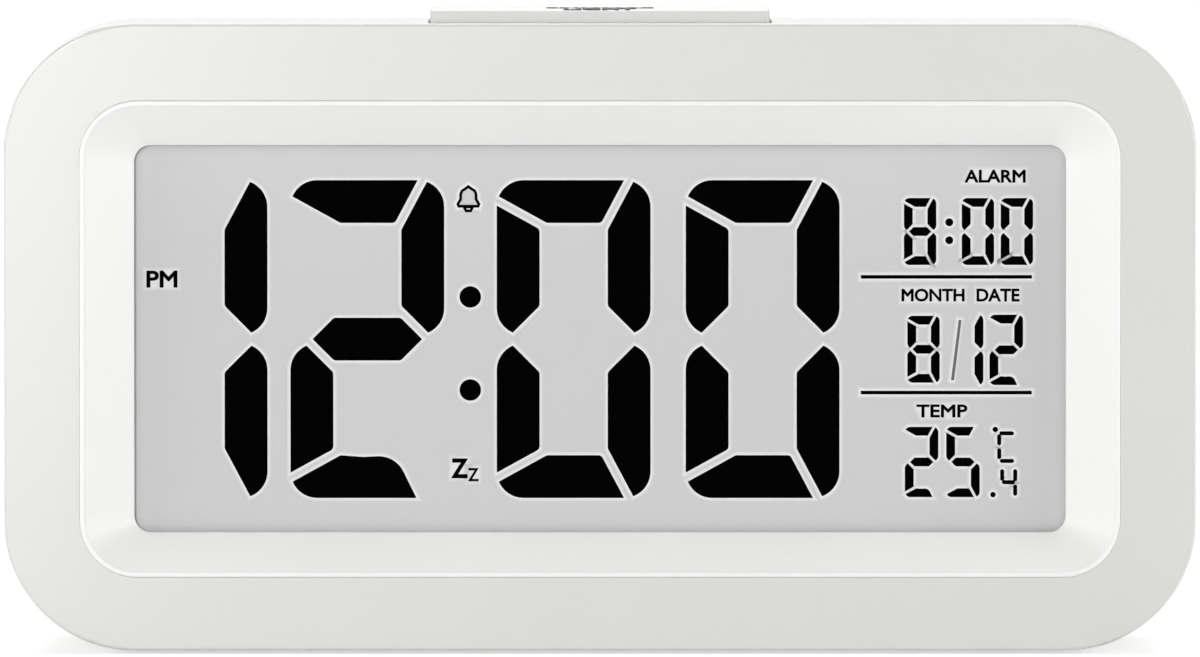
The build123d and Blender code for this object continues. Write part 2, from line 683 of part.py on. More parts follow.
# Display stack
def stack_plate(width, bottom_step, front, thickness):
    z0 = DISPLAY_Z - GLASS_HEIGHT / 2 + bottom_step
    z1 = DISPLAY_Z + GLASS_HEIGHT / 2
    return block(-width / 2, width / 2, front, front + thickness, z0, z1)


def lcd_gasket():
    width = GLASS_WIDTH - 2 * HOLDER_GAP
    height = GLASS_HEIGHT - 2 * HOLDER_GAP
    rim = min(GASKET_WIDTH, (width - WINDOW_WIDTH) / 2 - HOLDER_GAP)
    frame = Rectangle(width, height) - Rectangle(width - 2 * rim, height - 2 * rim)
    return slab(frame, INSERT_BACK_Y, POLARIZER_Y, z=DISPLAY_Z)


def front_polarizer():
    return stack_plate(GLASS_WIDTH, 0, POLARIZER_Y, FILM_THICKNESS)


def lcd_front_glass():
    return stack_plate(GLASS_WIDTH, 0, FRONT_GLASS_Y, GLASS_THICKNESS)


def lcd_rear_glass():
    return stack_plate(GLASS_WIDTH, CONTACT_LEDGE, REAR_GLASS_Y, GLASS_THICKNESS)


def rear_polarizer():
    return stack_plate(GLASS_WIDTH, CONTACT_LEDGE, REAR_FILM_Y, FILM_THICKNESS)


def light_guide():
    return stack_plate(WINDOW_WIDTH, CONTACT_LEDGE + 2 * STACK_GAP, GUIDE_Y, GUIDE_THICKNESS)


def reflector_film():
    return stack_plate(WINDOW_WIDTH, CONTACT_LEDGE + 2 * STACK_GAP, REFLECTOR_Y, FILM_THICKNESS)


def backlight_leds():
    inner = WINDOW_WIDTH / 2 + HOLDER_GAP
    half = LED_HEIGHT / 2
    return group(
        block(min(side * inner, side * (inner + LED_WIDTH)), max(side * inner, side * (inner + LED_WIDTH)),
              BOARD_Y - LED_DEPTH, BOARD_Y, DISPLAY_Z + rise - half, DISPLAY_Z + rise + half)
        for side in (-1, 1)
        for rise in (-POST_SPREAD, POST_SPREAD)
    )


def zebra_strip():
    bottom = DISPLAY_Z - GLASS_HEIGHT / 2 + HOLDER_GAP
    half = WINDOW_WIDTH / 2 - STACK_GAP
    return block(-half, half, REAR_GLASS_Y, BOARD_Y, bottom, bottom + ZEBRA_HEIGHT)


def lcd_holder():
    front = INSERT_BACK_Y
    inner = Rectangle(GLASS_WIDTH + 2 * HOLDER_GAP, GLASS_HEIGHT + 2 * HOLDER_GAP)
    outer = RectangleRounded(HOLDER_WIDTH, HOLDER_HEIGHT, HOLDER_WALL)
    holder = slab(outer - inner, front, BOARD_Y, z=DISPLAY_Z)
    reach = WIDTH / 2 - WALL - INSERT_GAP
    for side in (-1, 1):
        for height in (-POST_SPREAD, POST_SPREAD):
            z = DISPLAY_Z + height
            root = side * (HOLDER_WIDTH / 2 - HOLDER_WALL)
            tip = side * reach
            half = EAR_HEIGHT / 2
            holder += block(min(root, tip), max(root, tip), EAR_Y, BOARD_Y, z - half, z + half)
            holder -= rod(SCREW_RADIUS + 2 * SCREW_GAP, side * POST_X, z, EAR_Y, BOARD_Y)
    divider = DISPLAY_Z - GLASS_HEIGHT / 2 + HOLDER_GAP + ZEBRA_HEIGHT + INSERT_GAP
    half = GLASS_WIDTH / 2 + HOLDER_GAP + HOLDER_WALL / 2
    step = CONTACT_LEDGE + 2 * STACK_GAP - ZEBRA_HEIGHT - HOLDER_GAP - 2 * INSERT_GAP
    holder += block(-half, half, GUIDE_Y + INSERT_GAP, BOARD_Y, divider, divider + step)
    return holder


def main_board():
    half_height = HOLDER_HEIGHT / 2
    board = Rectangle(HOLDER_WIDTH, 2 * half_height)
    wings = Rectangle(WIDTH - 2 * WALL - 4 * INSERT_GAP, 2 * POST_SPREAD + EAR_HEIGHT)
    plate = slab(board + wings, BOARD_Y, BOARD_BACK_Y, z=DISPLAY_Z)
    for side in (-1, 1):
        for height in (-POST_SPREAD, POST_SPREAD):
            z = DISPLAY_Z + height
            plate -= rod(SCREW_RADIUS + 2 * SCREW_GAP, side * POST_X, z, BOARD_Y, BOARD_BACK_Y)
    return plate


def screw(head_radius, head_height, radius, length):
    head = Cylinder(head_radius, head_height, align=(Align.CENTER, Align.CENTER, Align.MIN))
    head = chamfer(head.edges().group_by(Axis.Z)[-1], head_height / 3)
    shank = Cylinder(radius, length, align=(Align.CENTER, Align.CENTER, Align.MAX))
    return head + shank


def small_screw():
    return screw(SCREW_HEAD_RADIUS, SCREW_HEAD_HEIGHT, SCREW_RADIUS, SCREW_LENGTH)


def backward(x, y, z):
    return Plane(origin=(x, y, z), x_dir=(1, 0, 0), z_dir=(0, 1, 0))


def display_screws():
    return group(
        backward(side * POST_X, BOARD_BACK_Y, DISPLAY_Z + height) * small_screw()
        for side in (-1, 1)
        for height in (-POST_SPREAD, POST_SPREAD)
    )


def chip_cover():
    x, rise = CHIP_PLACE
    radius = (CHIP_RADIUS ** 2 + CHIP_HEIGHT ** 2) / (2 * CHIP_HEIGHT)
    z = DISPLAY_Z + rise
    dome = Pos(x, BOARD_BACK_Y + CHIP_HEIGHT - radius, z) * Sphere(radius)
    return dome & rod(CHIP_RADIUS + CUT_REACH, x, z, BOARD_BACK_Y, BOARD_BACK_Y + 2 * CHIP_HEIGHT)


def crystal():
    x, rise = CRYSTAL_PLACE
    can = Rot(0, 90, 0) * Cylinder(CRYSTAL_RADIUS, CRYSTAL_LENGTH)
    return Pos(x, BOARD_BACK_Y + CRYSTAL_RADIUS, DISPLAY_Z + rise) * can


def capacitor():
    x, rise = CAPACITOR_PLACE
    can = rod(CAPACITOR_RADIUS, x, DISPLAY_Z + rise, BOARD_BACK_Y, BOARD_BACK_Y + CAPACITOR_HEIGHT)
    return fillet(can.edges().group_by(Axis.Y)[-1], SMALL_EDGE)


# Push switch, its button pointing along its own +Z
def push_switch():
    body = Box(SWITCH_SIDE, SWITCH_SIDE, SWITCH_HEIGHT, align=(Align.CENTER, Align.CENTER, Align.MIN))
    depth = PLUNGER_DEPTH + PLUNGER_TRAVEL
    bore = prism(Circle(PLUNGER_RADIUS + PLUNGER_GAP), SWITCH_HEIGHT - depth, SWITCH_HEIGHT)
    return body - bore


def push_plunger():
    return prism(Circle(PLUNGER_RADIUS), SWITCH_HEIGHT - PLUNGER_DEPTH, SWITCH_HEIGHT + PLUNGER_PROUD)


# Snooze bar and its board
def snooze_button():
    outline = RectangleRounded(SNOOZE_WIDTH, SNOOZE_LENGTH, SNOOZE_RADIUS)
    cap = prism(outline, SNOOZE_FLANGE_Z, SNOOZE_TOP, y=SNOOZE_Y)
    crown_radius = (SNOOZE_LENGTH / 2) ** 2 / (2 * SNOOZE_CROWN)
    crown = Rot(0, 90, 0) * Cylinder(crown_radius, SNOOZE_WIDTH + 2 * CUT_REACH)
    cap &= Pos(0, SNOOZE_Y, SNOOZE_TOP - crown_radius) * crown
    cap = fillet(cap.faces().sort_by(Axis.Z)[-1].edges(), SNOOZE_EDGE)
    rim = RectangleRounded(SNOOZE_WIDTH + 2 * SNOOZE_FLANGE, SNOOZE_LENGTH + 2 * SNOOZE_FLANGE,
                           SNOOZE_RADIUS + SNOOZE_FLANGE)
    cap += prism(rim, SNOOZE_FLANGE_Z, SNOOZE_FLANGE_Z + SNOOZE_FLANGE, y=SNOOZE_Y)
    hollow = RectangleRounded(SNOOZE_WIDTH - 2 * SNOOZE_WALL, SNOOZE_LENGTH - 2 * SNOOZE_WALL, SNOOZE_RADIUS)
    ceiling = SNOOZE_TOP - SNOOZE_CROWN - SNOOZE_WALL
    cap -= prism(hollow, SNOOZE_FLANGE_Z, ceiling, y=SNOOZE_Y)
    press_z = SNOOZE_BOARD_Z + SWITCH_HEIGHT + PLUNGER_PROUD
    cap += prism(Circle(PRESS_PAD_RADIUS), press_z, ceiling + PIN_ROOT, y=SNOOZE_Y)
    for side in (-1, 1):
        x = side * GUIDE_PIN_SPREAD
        tip = SNOOZE_BOARD_Z - BOARD_THICKNESS / 2
        cap += prism(Circle(GUIDE_PIN_RADIUS), tip, ceiling + PIN_ROOT, x, SNOOZE_Y)
    return cap


def snooze_board():
    half = SNOOZE_BOARD_WIDTH / 2
    bottom = SNOOZE_BOARD_Z - BOARD_THICKNESS
    board = block(-half, half, SNOOZE_BOARD_FRONT, SNOOZE_BOARD_BACK, bottom, SNOOZE_BOARD_Z)
    for side in (-1, 1):
        x = side * GUIDE_PIN_SPREAD
        board -= prism(Circle(GUIDE_PIN_RADIUS + GUIDE_PIN_GAP), bottom, SNOOZE_BOARD_Z, x, SNOOZE_Y)
        x = side * SNOOZE_SCREW_SPREAD
        board -= prism(Circle(SCREW_RADIUS + 2 * SCREW_GAP), bottom, SNOOZE_BOARD_Z, x, SNOOZE_SCREW_Y)
    return board


def snooze_switch():
    return Pos(0, SNOOZE_Y, SNOOZE_BOARD_Z) * push_switch()


def snooze_plunger():
    return Pos(0, SNOOZE_Y, SNOOZE_BOARD_Z) * push_plunger()


def snooze_board_screws():
    bottom = SNOOZE_BOARD_Z - BOARD_THICKNESS
    return group(
        Pos(side * SNOOZE_SCREW_SPREAD, SNOOZE_SCREW_Y, bottom) * Rot(180, 0, 0) * small_screw()
        for side in (-1, 1)
    )


# Ribbons, each a bent strip as wide as its wires
def ribbon(points, x):
    runs = [math.dist(a, b) for a, b in zip(points, points[1:])]
    bends = [min(2 * RIBBON_THICKNESS, RIBBON_BEND_SHARE * min(pair)) for pair in zip(runs, runs[1:])]
    line = Plane.YZ * FilletPolyline(*points, radius=bends)
    start = Plane(origin=line @ 0, z_dir=line % 0, x_dir=(1, 0, 0))
    strip = sweep(start * Rectangle(RIBBON_WIDTH, RIBBON_THICKNESS), path=line)
    return Pos(x, 0, 0) * strip


def snooze_ribbon():
    top = SNOOZE_BOARD_Z - BOARD_THICKNESS
    y = SNOOZE_SCREW_Y
    drop = HOLDER_HEIGHT / 2 - SNOOZE_RIBBON_DROP
    return ribbon([(y, top), (y, DISPLAY_Z + drop), (BOARD_BACK_Y, DISPLAY_Z + drop)], -RIBBON_X)


def key_ribbon():
    z = KEY_Z - KEY_BOARD_HEIGHT / 4
    middle = (KEY_BOARD_Y + BOARD_BACK_Y) / 2
    drop = z - KEY_RIBBON_DROP
    return ribbon([(KEY_BOARD_Y, z), (middle, z), (middle, drop), (BOARD_BACK_Y, drop)], RIBBON_X)


# Rear shell
def screw_tube(x, z):
    tube = rod(TUBE_RADIUS, x, z, SHELL_SEAT_Y - WALL, REAR_INNER_Y + WALL / 2)
    return tube + rod(BOSS_RADIUS, x, z, SEAM_Y + BOSS_GAP, SHELL_SEAT_Y)


def screw_bore(x, z):
    bore = rod(SHELL_HEAD_RADIUS + 4 * SCREW_GAP, x, z, SHELL_SEAT_Y, REAR_Y + CUT_REACH)
    return bore + rod(SHELL_SCREW_RADIUS + 2 * SCREW_GAP, x, z, SEAM_Y, SHELL_SEAT_Y)


def battery_tray():
    side = TRAY_HALF + DOOR_LEDGE + TRAY_WALL / 2
    back = REAR_INNER_Y + WALL / 2
    tray = block(-side, side, TRAY_FRONT_Y, back, TRAY_BOTTOM - TRAY_WALL, TRAY_TOP + TRAY_WALL)
    ledge = DOOR_INNER_Y - HOOK_GAP
    tray -= block(-TRAY_HALF, TRAY_HALF, FLOOR_Y, ledge, TRAY_BOTTOM, TRAY_TOP)
    half = RIB_THICKNESS / 2
    height = CELL_RADIUS / 2
    ridges = [z + CELL_PITCH / 2 for z in CELL_HEIGHTS[:-1]]
    for z in ridges:
        tray += block(-TRAY_HALF, TRAY_HALF, FLOOR_Y, FLOOR_Y + height / 2, z - half, z + half)
    stops = [CELL_HEIGHTS[0] - CELL_RADIUS - 2 * half, CELL_HEIGHTS[-1] + CELL_RADIUS + 2 * half]
    for z in stops:
        tray += block(-TRAY_HALF, TRAY_HALF, FLOOR_Y, CELL_Y, z - half / 2, z + half / 2)
    return tray


def contact_slots():
    slots = []
    for side, z in contact_tabs():
        half = CONTACT_TAB / 2 + TAB_GAP
        edge = side * TRAY_HALF
        inner = side * (TRAY_HALF - CONTACT_THICKNESS - TAB_GAP)
        slots.append(block(min(edge, inner), max(edge, inner), TRAY_FRONT_Y, FLOOR_Y, z - half, z + half))
    return slots


def contact_tabs():
    return ((1, CELL_HEIGHTS[0]), (-1, CELL_HEIGHTS[-1]))


def speaker_holes():
    places = [(SPEAKER_X, SPEAKER_Z)]
    for ring, count in ((1, 6), (2, 12)):
        reach = ring * SPEAKER_HOLE_PITCH
        for i in range(count):
            turn = 2 * math.pi * i / count
            places.append((SPEAKER_X + reach * math.cos(turn), SPEAKER_Z + reach * math.sin(turn)))
    return [rod(SPEAKER_HOLE_RADIUS, x, z, REAR_INNER_Y - CUT_REACH, REAR_Y + CUT_REACH) for x, z in places]


def air_slots():
    first = SPEAKER_Z - AIR_SLOT_PITCH * (AIR_SLOT_COUNT - 1) / 2
    slot = SlotOverall(*AIR_SLOT)
    return [slab(slot, REAR_INNER_Y - CUT_REACH, REAR_Y + CUT_REACH, AIR_X, first + AIR_SLOT_PITCH * i)
            for i in range(AIR_SLOT_COUNT)]


def key_holes():
    hole = SlotOverall(KEY_WIDTH + 2 * KEY_GAP, KEY_HEIGHT + 2 * KEY_GAP)
    holes = [slab(hole, REAR_INNER_Y - CUT_REACH, REAR_Y + CUT_REACH, x, KEY_Z) for x in KEY_CENTRES]
    slot = RectangleRounded(SLIDER_SLOT, SLIDER_HEIGHT + 2 * SLIDER_GAP, SLIDER_GAP)
    return holes + [slab(slot, REAR_INNER_Y - CUT_REACH, REAR_Y + CUT_REACH, SLIDER_X, KEY_Z)]


def rear_shell():
    shell = tapered(0, REAR_Y, REAR_EDGE_RADIUS)
    shell += slab(body_outline(SHADOW_DEPTH), SEAM_Y, SEAM_Y + SHADOW_GAP, z=BODY_Z)
    tongue = body_outline(WALL / 2 + TONGUE_GAP)
    shell += slab(tongue, SEAM_Y - TONGUE_LENGTH, SEAM_Y, z=BODY_Z)
    shell -= tapered(WALL, REAR_INNER_Y, REAR_EDGE_RADIUS - WALL)
    shell -= slab(body_outline(WALL), SEAM_Y - TONGUE_LENGTH, SEAM_Y + SHADOW_GAP, z=BODY_Z)
    shell += battery_tray()
    for x, z in SHELL_SCREWS:
        shell = shell + screw_tube(x, z) - screw_bore(x, z)
    for x in KEY_SCREW_CENTRES:
        shell += rod(KEY_BOSS_RADIUS, x, KEY_Z, KEY_BOARD_BACK_Y, REAR_INNER_Y + WALL / 2)
        shell -= rod(SCREW_RADIUS + SCREW_GAP / 2, x, KEY_Z, KEY_BOARD_BACK_Y, REAR_INNER_Y)
    collar = Circle(SPEAKER_RADIUS + SPEAKER_GAP + SPEAKER_WALL) - Circle(SPEAKER_RADIUS + SPEAKER_GAP)
    shell += slab(collar, REAR_INNER_Y - SPEAKER_RIM, REAR_INNER_Y + WALL / 2, SPEAKER_X, SPEAKER_Z)
    shell += rod(SENSOR_STUD_RADIUS, AIR_X, SENSOR_Z, SENSOR_Y, REAR_INNER_Y + WALL / 2)
    opening = RectangleRounded(2 * DOOR_HALF, DOOR_TOP - DOOR_BOTTOM, DOOR_RADIUS)
    ledge = DOOR_INNER_Y - HOOK_GAP
    shell -= slab(opening, ledge, REAR_Y + CUT_REACH, z=(DOOR_TOP + DOOR_BOTTOM) / 2)
    shell -= block(-TRAY_HALF, TRAY_HALF, REAR_INNER_Y - WALL / 2, ledge, DOOR_BOTTOM, DOOR_TOP)
    scoop = Pos(0, REAR_Y, DOOR_TOP) * Sphere(LATCH_WIDTH / 2)
    dent = block(-LATCH_WIDTH, LATCH_WIDTH, REAR_Y - SCOOP_DEPTH, REAR_Y + WALL, DOOR_TOP, BODY_TOP)
    shell -= scoop & dent
    for cut in speaker_holes() + air_slots() + key_holes() + contact_slots():
        shell -= cut
    for pocket in foot_pockets(REAR_Y - FOOT_REAR_INSET):
        shell -= pocket
    return shell


def housing_screws():
    length = SHELL_SEAT_Y - SEAM_Y + SHELL_SCREW_BITE
    one = screw(SHELL_HEAD_RADIUS, SHELL_HEAD_HEIGHT, SHELL_SCREW_RADIUS, length)
    return group(backward(x, SHELL_SEAT_Y, z) * one for x, z in SHELL_SCREWS)


# Keys, their board and the alarm switch
def key(x):
    cap = slab(SlotOverall(KEY_WIDTH, KEY_HEIGHT), KEY_FLANGE_Y, REAR_Y + KEY_PROUD, x, KEY_Z)
    cap = fillet(cap.edges().group_by(Axis.Y)[-1], KEY_EDGE)
    rim = SlotOverall(KEY_WIDTH + 2 * KEY_FLANGE, KEY_HEIGHT + 2 * KEY_FLANGE)
    return cap + slab(rim, KEY_FLANGE_Y, KEY_FLANGE_Y + KEY_FLANGE, x, KEY_Z)


def key_plunger(x):
    return backward(x, KEY_BOARD_BACK_Y, KEY_Z) * push_plunger()


def key_switches():
    return group(backward(x, KEY_BOARD_BACK_Y, KEY_Z) * push_switch() for x in KEY_CENTRES)


def key_board():
    half = KEY_BOARD_HEIGHT / 2
    board = block(KEY_BOARD_LEFT, KEY_BOARD_RIGHT, KEY_BOARD_Y, KEY_BOARD_BACK_Y, KEY_Z - half, KEY_Z + half)
    for x in KEY_SCREW_CENTRES:
        board -= rod(SCREW_RADIUS + 2 * SCREW_GAP, x, KEY_Z, KEY_BOARD_Y, KEY_BOARD_BACK_Y)
    return board


def key_board_screws():
    length = REAR_INNER_Y - KEY_BOARD_Y - WALL / 2
    one = screw(SCREW_HEAD_RADIUS, SCREW_HEAD_HEIGHT, SCREW_RADIUS, length)
    return group(facing(KEY_BOARD_Y, x, KEY_Z) * one for x in KEY_SCREW_CENTRES)


def alarm_switch_body():
    back = REAR_INNER_Y - 2 * KEY_FLANGE
    body = slab(Rectangle(*SLIDER_BODY), KEY_BOARD_BACK_Y, back, SLIDER_X, KEY_Z)
    groove = Rectangle(SLIDER_LEVER + SLIDER_TRAVEL + 2 * SLIDER_GAP, SLIDER_LEVER + 2 * SLIDER_GAP)
    return body - slab(groove, back - 2 * KEY_FLANGE, back, SLIDER_X, KEY_Z)


def alarm_switch_knob():
    x = SLIDER_X - SLIDER_TRAVEL / 2
    back = REAR_INNER_Y - 2 * KEY_FLANGE
    knob = slab(Rectangle(SLIDER_WIDTH, SLIDER_HEIGHT), back + SLIDER_GAP, REAR_Y + KEY_PROUD, x, KEY_Z)
    tip = REAR_Y + KEY_PROUD
    for i in (-1, 0, 1):
        groove_x = x + i * 2 * SLIDER_RIDGE
        half = SLIDER_RIDGE / 2
        knob -= block(groove_x - half, groove_x + half, tip - SLIDER_RIDGE, tip,
                      KEY_Z - SLIDER_HEIGHT, KEY_Z + SLIDER_HEIGHT)
    lever = slab(Rectangle(SLIDER_LEVER, SLIDER_LEVER), back - KEY_FLANGE, back + KEY_FLANGE, x, KEY_Z)
    return knob + lever


# Battery door and its spring latch
def battery_door():
    height = DOOR_TOP - DOOR_BOTTOM - 2 * DOOR_GAP
    middle = (DOOR_TOP + DOOR_BOTTOM) / 2
    panel = RectangleRounded(2 * (DOOR_HALF - DOOR_GAP), height, DOOR_RADIUS - DOOR_GAP)
    door = slab(panel, DOOR_INNER_Y, REAR_Y, z=middle)
    notch = LATCH_WIDTH / 2 + DOOR_GAP
    door -= block(-notch, notch, DOOR_INNER_Y, REAR_Y, LATCH_TOP - LATCH_THICKNESS - 2 * DOOR_GAP, DOOR_TOP)
    back = REAR_INNER_Y - HOOK_GAP
    for side in (-1, 1):
        x0 = side * HOOK_SPREAD - HOOK_WIDTH / 2
        x1 = x0 + HOOK_WIDTH
        inside = back - HOOK_THICKNESS
        door += block(x0, x1, inside, DOOR_INNER_Y, DOOR_BOTTOM + 2 * DOOR_GAP, DOOR_BOTTOM + HOOK_WIDTH / 3)
        door += block(x0, x1, inside, back, DOOR_BOTTOM - HOOK_REACH, DOOR_BOTTOM + HOOK_WIDTH / 3)
    for i in range(GRIP_RIDGES):
        z = LATCH_BOTTOM - GRIP_DROP - GRIP_PITCH * i
        door += block(-LATCH_WIDTH / 2, LATCH_WIDTH / 2, REAR_Y, REAR_Y + GRIP_PROUD, z, z + GRIP_HEIGHT)
    return door


def battery_door_latch():
    bend = LATCH_HEIGHT / 2
    centre_y = DOOR_INNER_Y - LATCH_DEPTH + bend
    middle = (LATCH_TOP + LATCH_BOTTOM) / 2
    half = LATCH_WIDTH / 2
    ring = Rot(0, 90, 0) * (Cylinder(bend, LATCH_WIDTH) - Cylinder(bend - LATCH_THICKNESS, LATCH_WIDTH))
    curve = Pos(0, centre_y, middle) * ring
    curve &= block(-half, half, centre_y - bend, centre_y, LATCH_BOTTOM, LATCH_TOP)
    latch = curve + block(-half, half, centre_y, DOOR_INNER_Y, LATCH_BOTTOM, LATCH_BOTTOM + LATCH_THICKNESS)
    tip = REAR_Y - DOOR_GAP
    latch += block(-half, half, centre_y, tip, LATCH_TOP - LATCH_THICKNESS, LATCH_TOP)
    catch_back = REAR_INNER_Y - HOOK_GAP
    latch += block(-half, half, catch_back - HOOK_THICKNESS, catch_back, LATCH_TOP - LATCH_THICKNESS,
                   DOOR_TOP + LATCH_CATCH)
    return latch


# Battery cells, contacts and springs
def battery_cell(index):
    side = CELL_SIDES[index]
    z = CELL_HEIGHTS[index]
    body_length = CELL_LENGTH - NUB_LENGTH
    can = Cylinder(CELL_RADIUS, body_length, align=(Align.CENTER, Align.CENTER, Align.MIN))
    can = fillet(can.edges(), SMALL_EDGE)
    can += prism(Circle(NUB_RADIUS), body_length, CELL_LENGTH)
    start = -side * (TRAY_HALF - CONTACT_THICKNESS - SPRING_LENGTH)
    return Plane(origin=(start, CELL_Y, z), z_dir=(side, 0, 0)) * can


def contact_plate(side, low, high):
    outer = side * TRAY_HALF
    inner = side * (TRAY_HALF - CONTACT_THICKNESS)
    half = CONTACT_SIDE / 2
    return block(min(outer, inner), max(outer, inner), CELL_Y - half, CELL_Y + half, low - half, high + half)


def end_contact(side, z):
    outer = side * TRAY_HALF
    inner = side * (TRAY_HALF - CONTACT_THICKNESS)
    half = CONTACT_TAB / 2
    tab = block(min(outer, inner), max(outer, inner), TRAY_FRONT_Y - TAB_REACH, CELL_Y, z - half, z + half)
    return contact_plate(side, z, z) + tab


def positive_contact():
    return end_contact(*contact_tabs()[0])


def negative_contact():
    return end_contact(*contact_tabs()[1])


def bridge_contact_left():
    return contact_plate(-1, CELL_HEIGHTS[0], CELL_HEIGHTS[1])


def bridge_contact_right():
    return contact_plate(1, CELL_HEIGHTS[1], CELL_HEIGHTS[2])


def cone_point(turn):
    share = turn / SPRING_TURNS
    radius = SPRING_WIDE_RADIUS + (SPRING_NARROW_RADIUS - SPRING_WIDE_RADIUS) * share
    end = SPRING_WIRE / 2 + SPRING_END_GAP
    height = end + (SPRING_LENGTH - 2 * end) * share
    angle = 2 * math.pi * turn
    return Vector(radius * math.cos(angle), radius * math.sin(angle), height)


def cone_direction(turn):
    step = 0.01
    return (cone_point(turn + step) - cone_point(turn - step)).normalized()


def arc_pair(start, start_way, end, end_way):
    chord = end - start
    lean = start_way + end_way
    closeness = 2 * (1 - start_way.dot(end_way))
    reach = (math.sqrt(chord.dot(lean) ** 2 + closeness * chord.dot(chord)) - chord.dot(lean)) / closeness
    first = start + start_way * reach
    last = end - end_way * reach
    middle = (first + last) * 0.5
    return [Edge.make_tangent_arc(start, start_way, middle),
            Edge.make_tangent_arc(middle, last - first, end)]


def coil_spring():
    step = 0.25
    edges = []
    quarters = [i * step for i in range(int(SPRING_TURNS / step) + 1)]
    for a, b in zip(quarters, quarters[1:]):
        edges += arc_pair(cone_point(a), cone_direction(a), cone_point(b), cone_direction(b))
    path = Wire(edges)
    start = Plane(origin=path @ 0, z_dir=path % 0)
    return sweep(start * Circle(SPRING_WIRE / 2), path=path)


def spring_gap():
    count = 24
    points = [cone_point(i / count) for i in range(SPRING_TURNS * count + 1)]
    gaps = [(a - b).length for i, a in enumerate(points) for b in points[i + count // 2:]]
    return min(gaps) - SPRING_WIRE


def battery_springs():
    springs = []
    for side, z in zip(CELL_SIDES, CELL_HEIGHTS):
        start = -side * (TRAY_HALF - CONTACT_THICKNESS)
        springs.append(Plane(origin=(start, CELL_Y, z), z_dir=(side, 0, 0)) * coil_spring())
    return group(springs)


# Speaker, sensor and leads
def speaker():
    rim = rod(SPEAKER_RADIUS, SPEAKER_X, SPEAKER_Z, REAR_INNER_Y - SPEAKER_RIM, REAR_INNER_Y)
    magnet_y = REAR_INNER_Y - SPEAKER_RIM - MAGNET_HEIGHT
    magnet = rod(MAGNET_RADIUS, SPEAKER_X, SPEAKER_Z, magnet_y, REAR_INNER_Y)
    return rim + fillet(magnet.edges().group_by(Axis.Y)[0], MAGNET_EDGE)


def lead(points, radius):
    places = [Vector(*point) for point in points]
    runs = [b - a for a, b in zip(places, places[1:])]
    bends = []
    for before, after in zip(runs, runs[1:]):
        turn = math.radians(before.get_angle(after))
        bends.append(LEAD_BEND_SHARE * min(before.length, after.length) / math.tan(turn / 2))
    print("bend radii of a lead", [round(bend, 1) for bend in bends])
    path = FilletPolyline(*places, radius=bends)
    start = Plane(origin=places[0], z_dir=runs[0])
    return sweep(start * Circle(radius), path=path)


def board_lead(x, y, z, drop, shift):
    middle = (y + BOARD_BACK_Y) / 2
    return lead([(x, y, z), (x, middle + LEAD_STEP, z), (x + shift, middle - LEAD_STEP, z - drop),
                 (x + shift, BOARD_BACK_Y, z - drop)], LEAD_RADIUS)


def battery_lead(side, z, drop):
    x = side * (TRAY_HALF - LEAD_RADIUS)
    return board_lead(x, TRAY_FRONT_Y - TAB_REACH, z, drop, side * BATTERY_LEAD_SHIFT)


def battery_lead_red():
    return battery_lead(*contact_tabs()[0], -BATTERY_LEAD_DROP)


def battery_lead_black():
    return battery_lead(*contact_tabs()[1], BATTERY_LEAD_DROP)


def speaker_leads():
    y = REAR_INNER_Y - SPEAKER_RIM - MAGNET_HEIGHT
    return group(board_lead(SPEAKER_X + side * SPEAKER_LEAD_SPREAD, y, SPEAKER_Z, SPEAKER_LEAD_DROP,
                            SPEAKER_LEAD_SHIFT) for side in (-1, 1))


def temperature_sensor():
    bead = Pos(AIR_X, SENSOR_Y - SENSOR_RADIUS, SENSOR_Z) * Sphere(SENSOR_RADIUS)
    start = SENSOR_Y - 2 * SENSOR_RADIUS + SENSOR_LEG_ROOT
    legs = board_lead(AIR_X, start, SENSOR_Z, SENSOR_LEAD_DROP, -SENSOR_LEAD_SHIFT)
    return bead + legs


PARTS = {
    "front_shell": front_shell,
    "bezel_insert": bezel_insert,
    "lcd_gasket": lcd_gasket,
    "lcd_segments": lcd_segments,
    "front_polarizer": front_polarizer,
    "lcd_front_glass": lcd_front_glass,
    "lcd_rear_glass": lcd_rear_glass,
    "rear_polarizer": rear_polarizer,
    "light_guide": light_guide,
    "reflector_film": reflector_film,
    "backlight_leds": backlight_leds,
    "zebra_strip": zebra_strip,
    "lcd_holder": lcd_holder,
    "main_board": main_board,
    "display_screws": display_screws,
    "chip_cover": chip_cover,
    "crystal": crystal,
    "capacitor": capacitor,
    "snooze_button": snooze_button,
    "snooze_board": snooze_board,
    "snooze_switch": snooze_switch,
    "snooze_plunger": snooze_plunger,
    "snooze_board_screws": snooze_board_screws,
    "snooze_ribbon": snooze_ribbon,
    "key_ribbon": key_ribbon,
    "rear_shell": rear_shell,
    "housing_screws": housing_screws,
    "key_switches": key_switches,
    "key_board": key_board,
    "key_board_screws": key_board_screws,
    "alarm_switch_body": alarm_switch_body,
    "alarm_switch_knob": alarm_switch_knob,
    "battery_door": battery_door,
    "battery_door_latch": battery_door_latch,
    "battery_springs": battery_springs,
    "positive_contact": positive_contact,
    "negative_contact": negative_contact,
    "bridge_contact_left": bridge_contact_left,
    "bridge_contact_right": bridge_contact_right,
    "battery_lead_red": battery_lead_red,
    "battery_lead_black": battery_lead_black,
    "speaker": speaker,
    "speaker_leads": speaker_leads,
    "temperature_sensor": temperature_sensor,
}


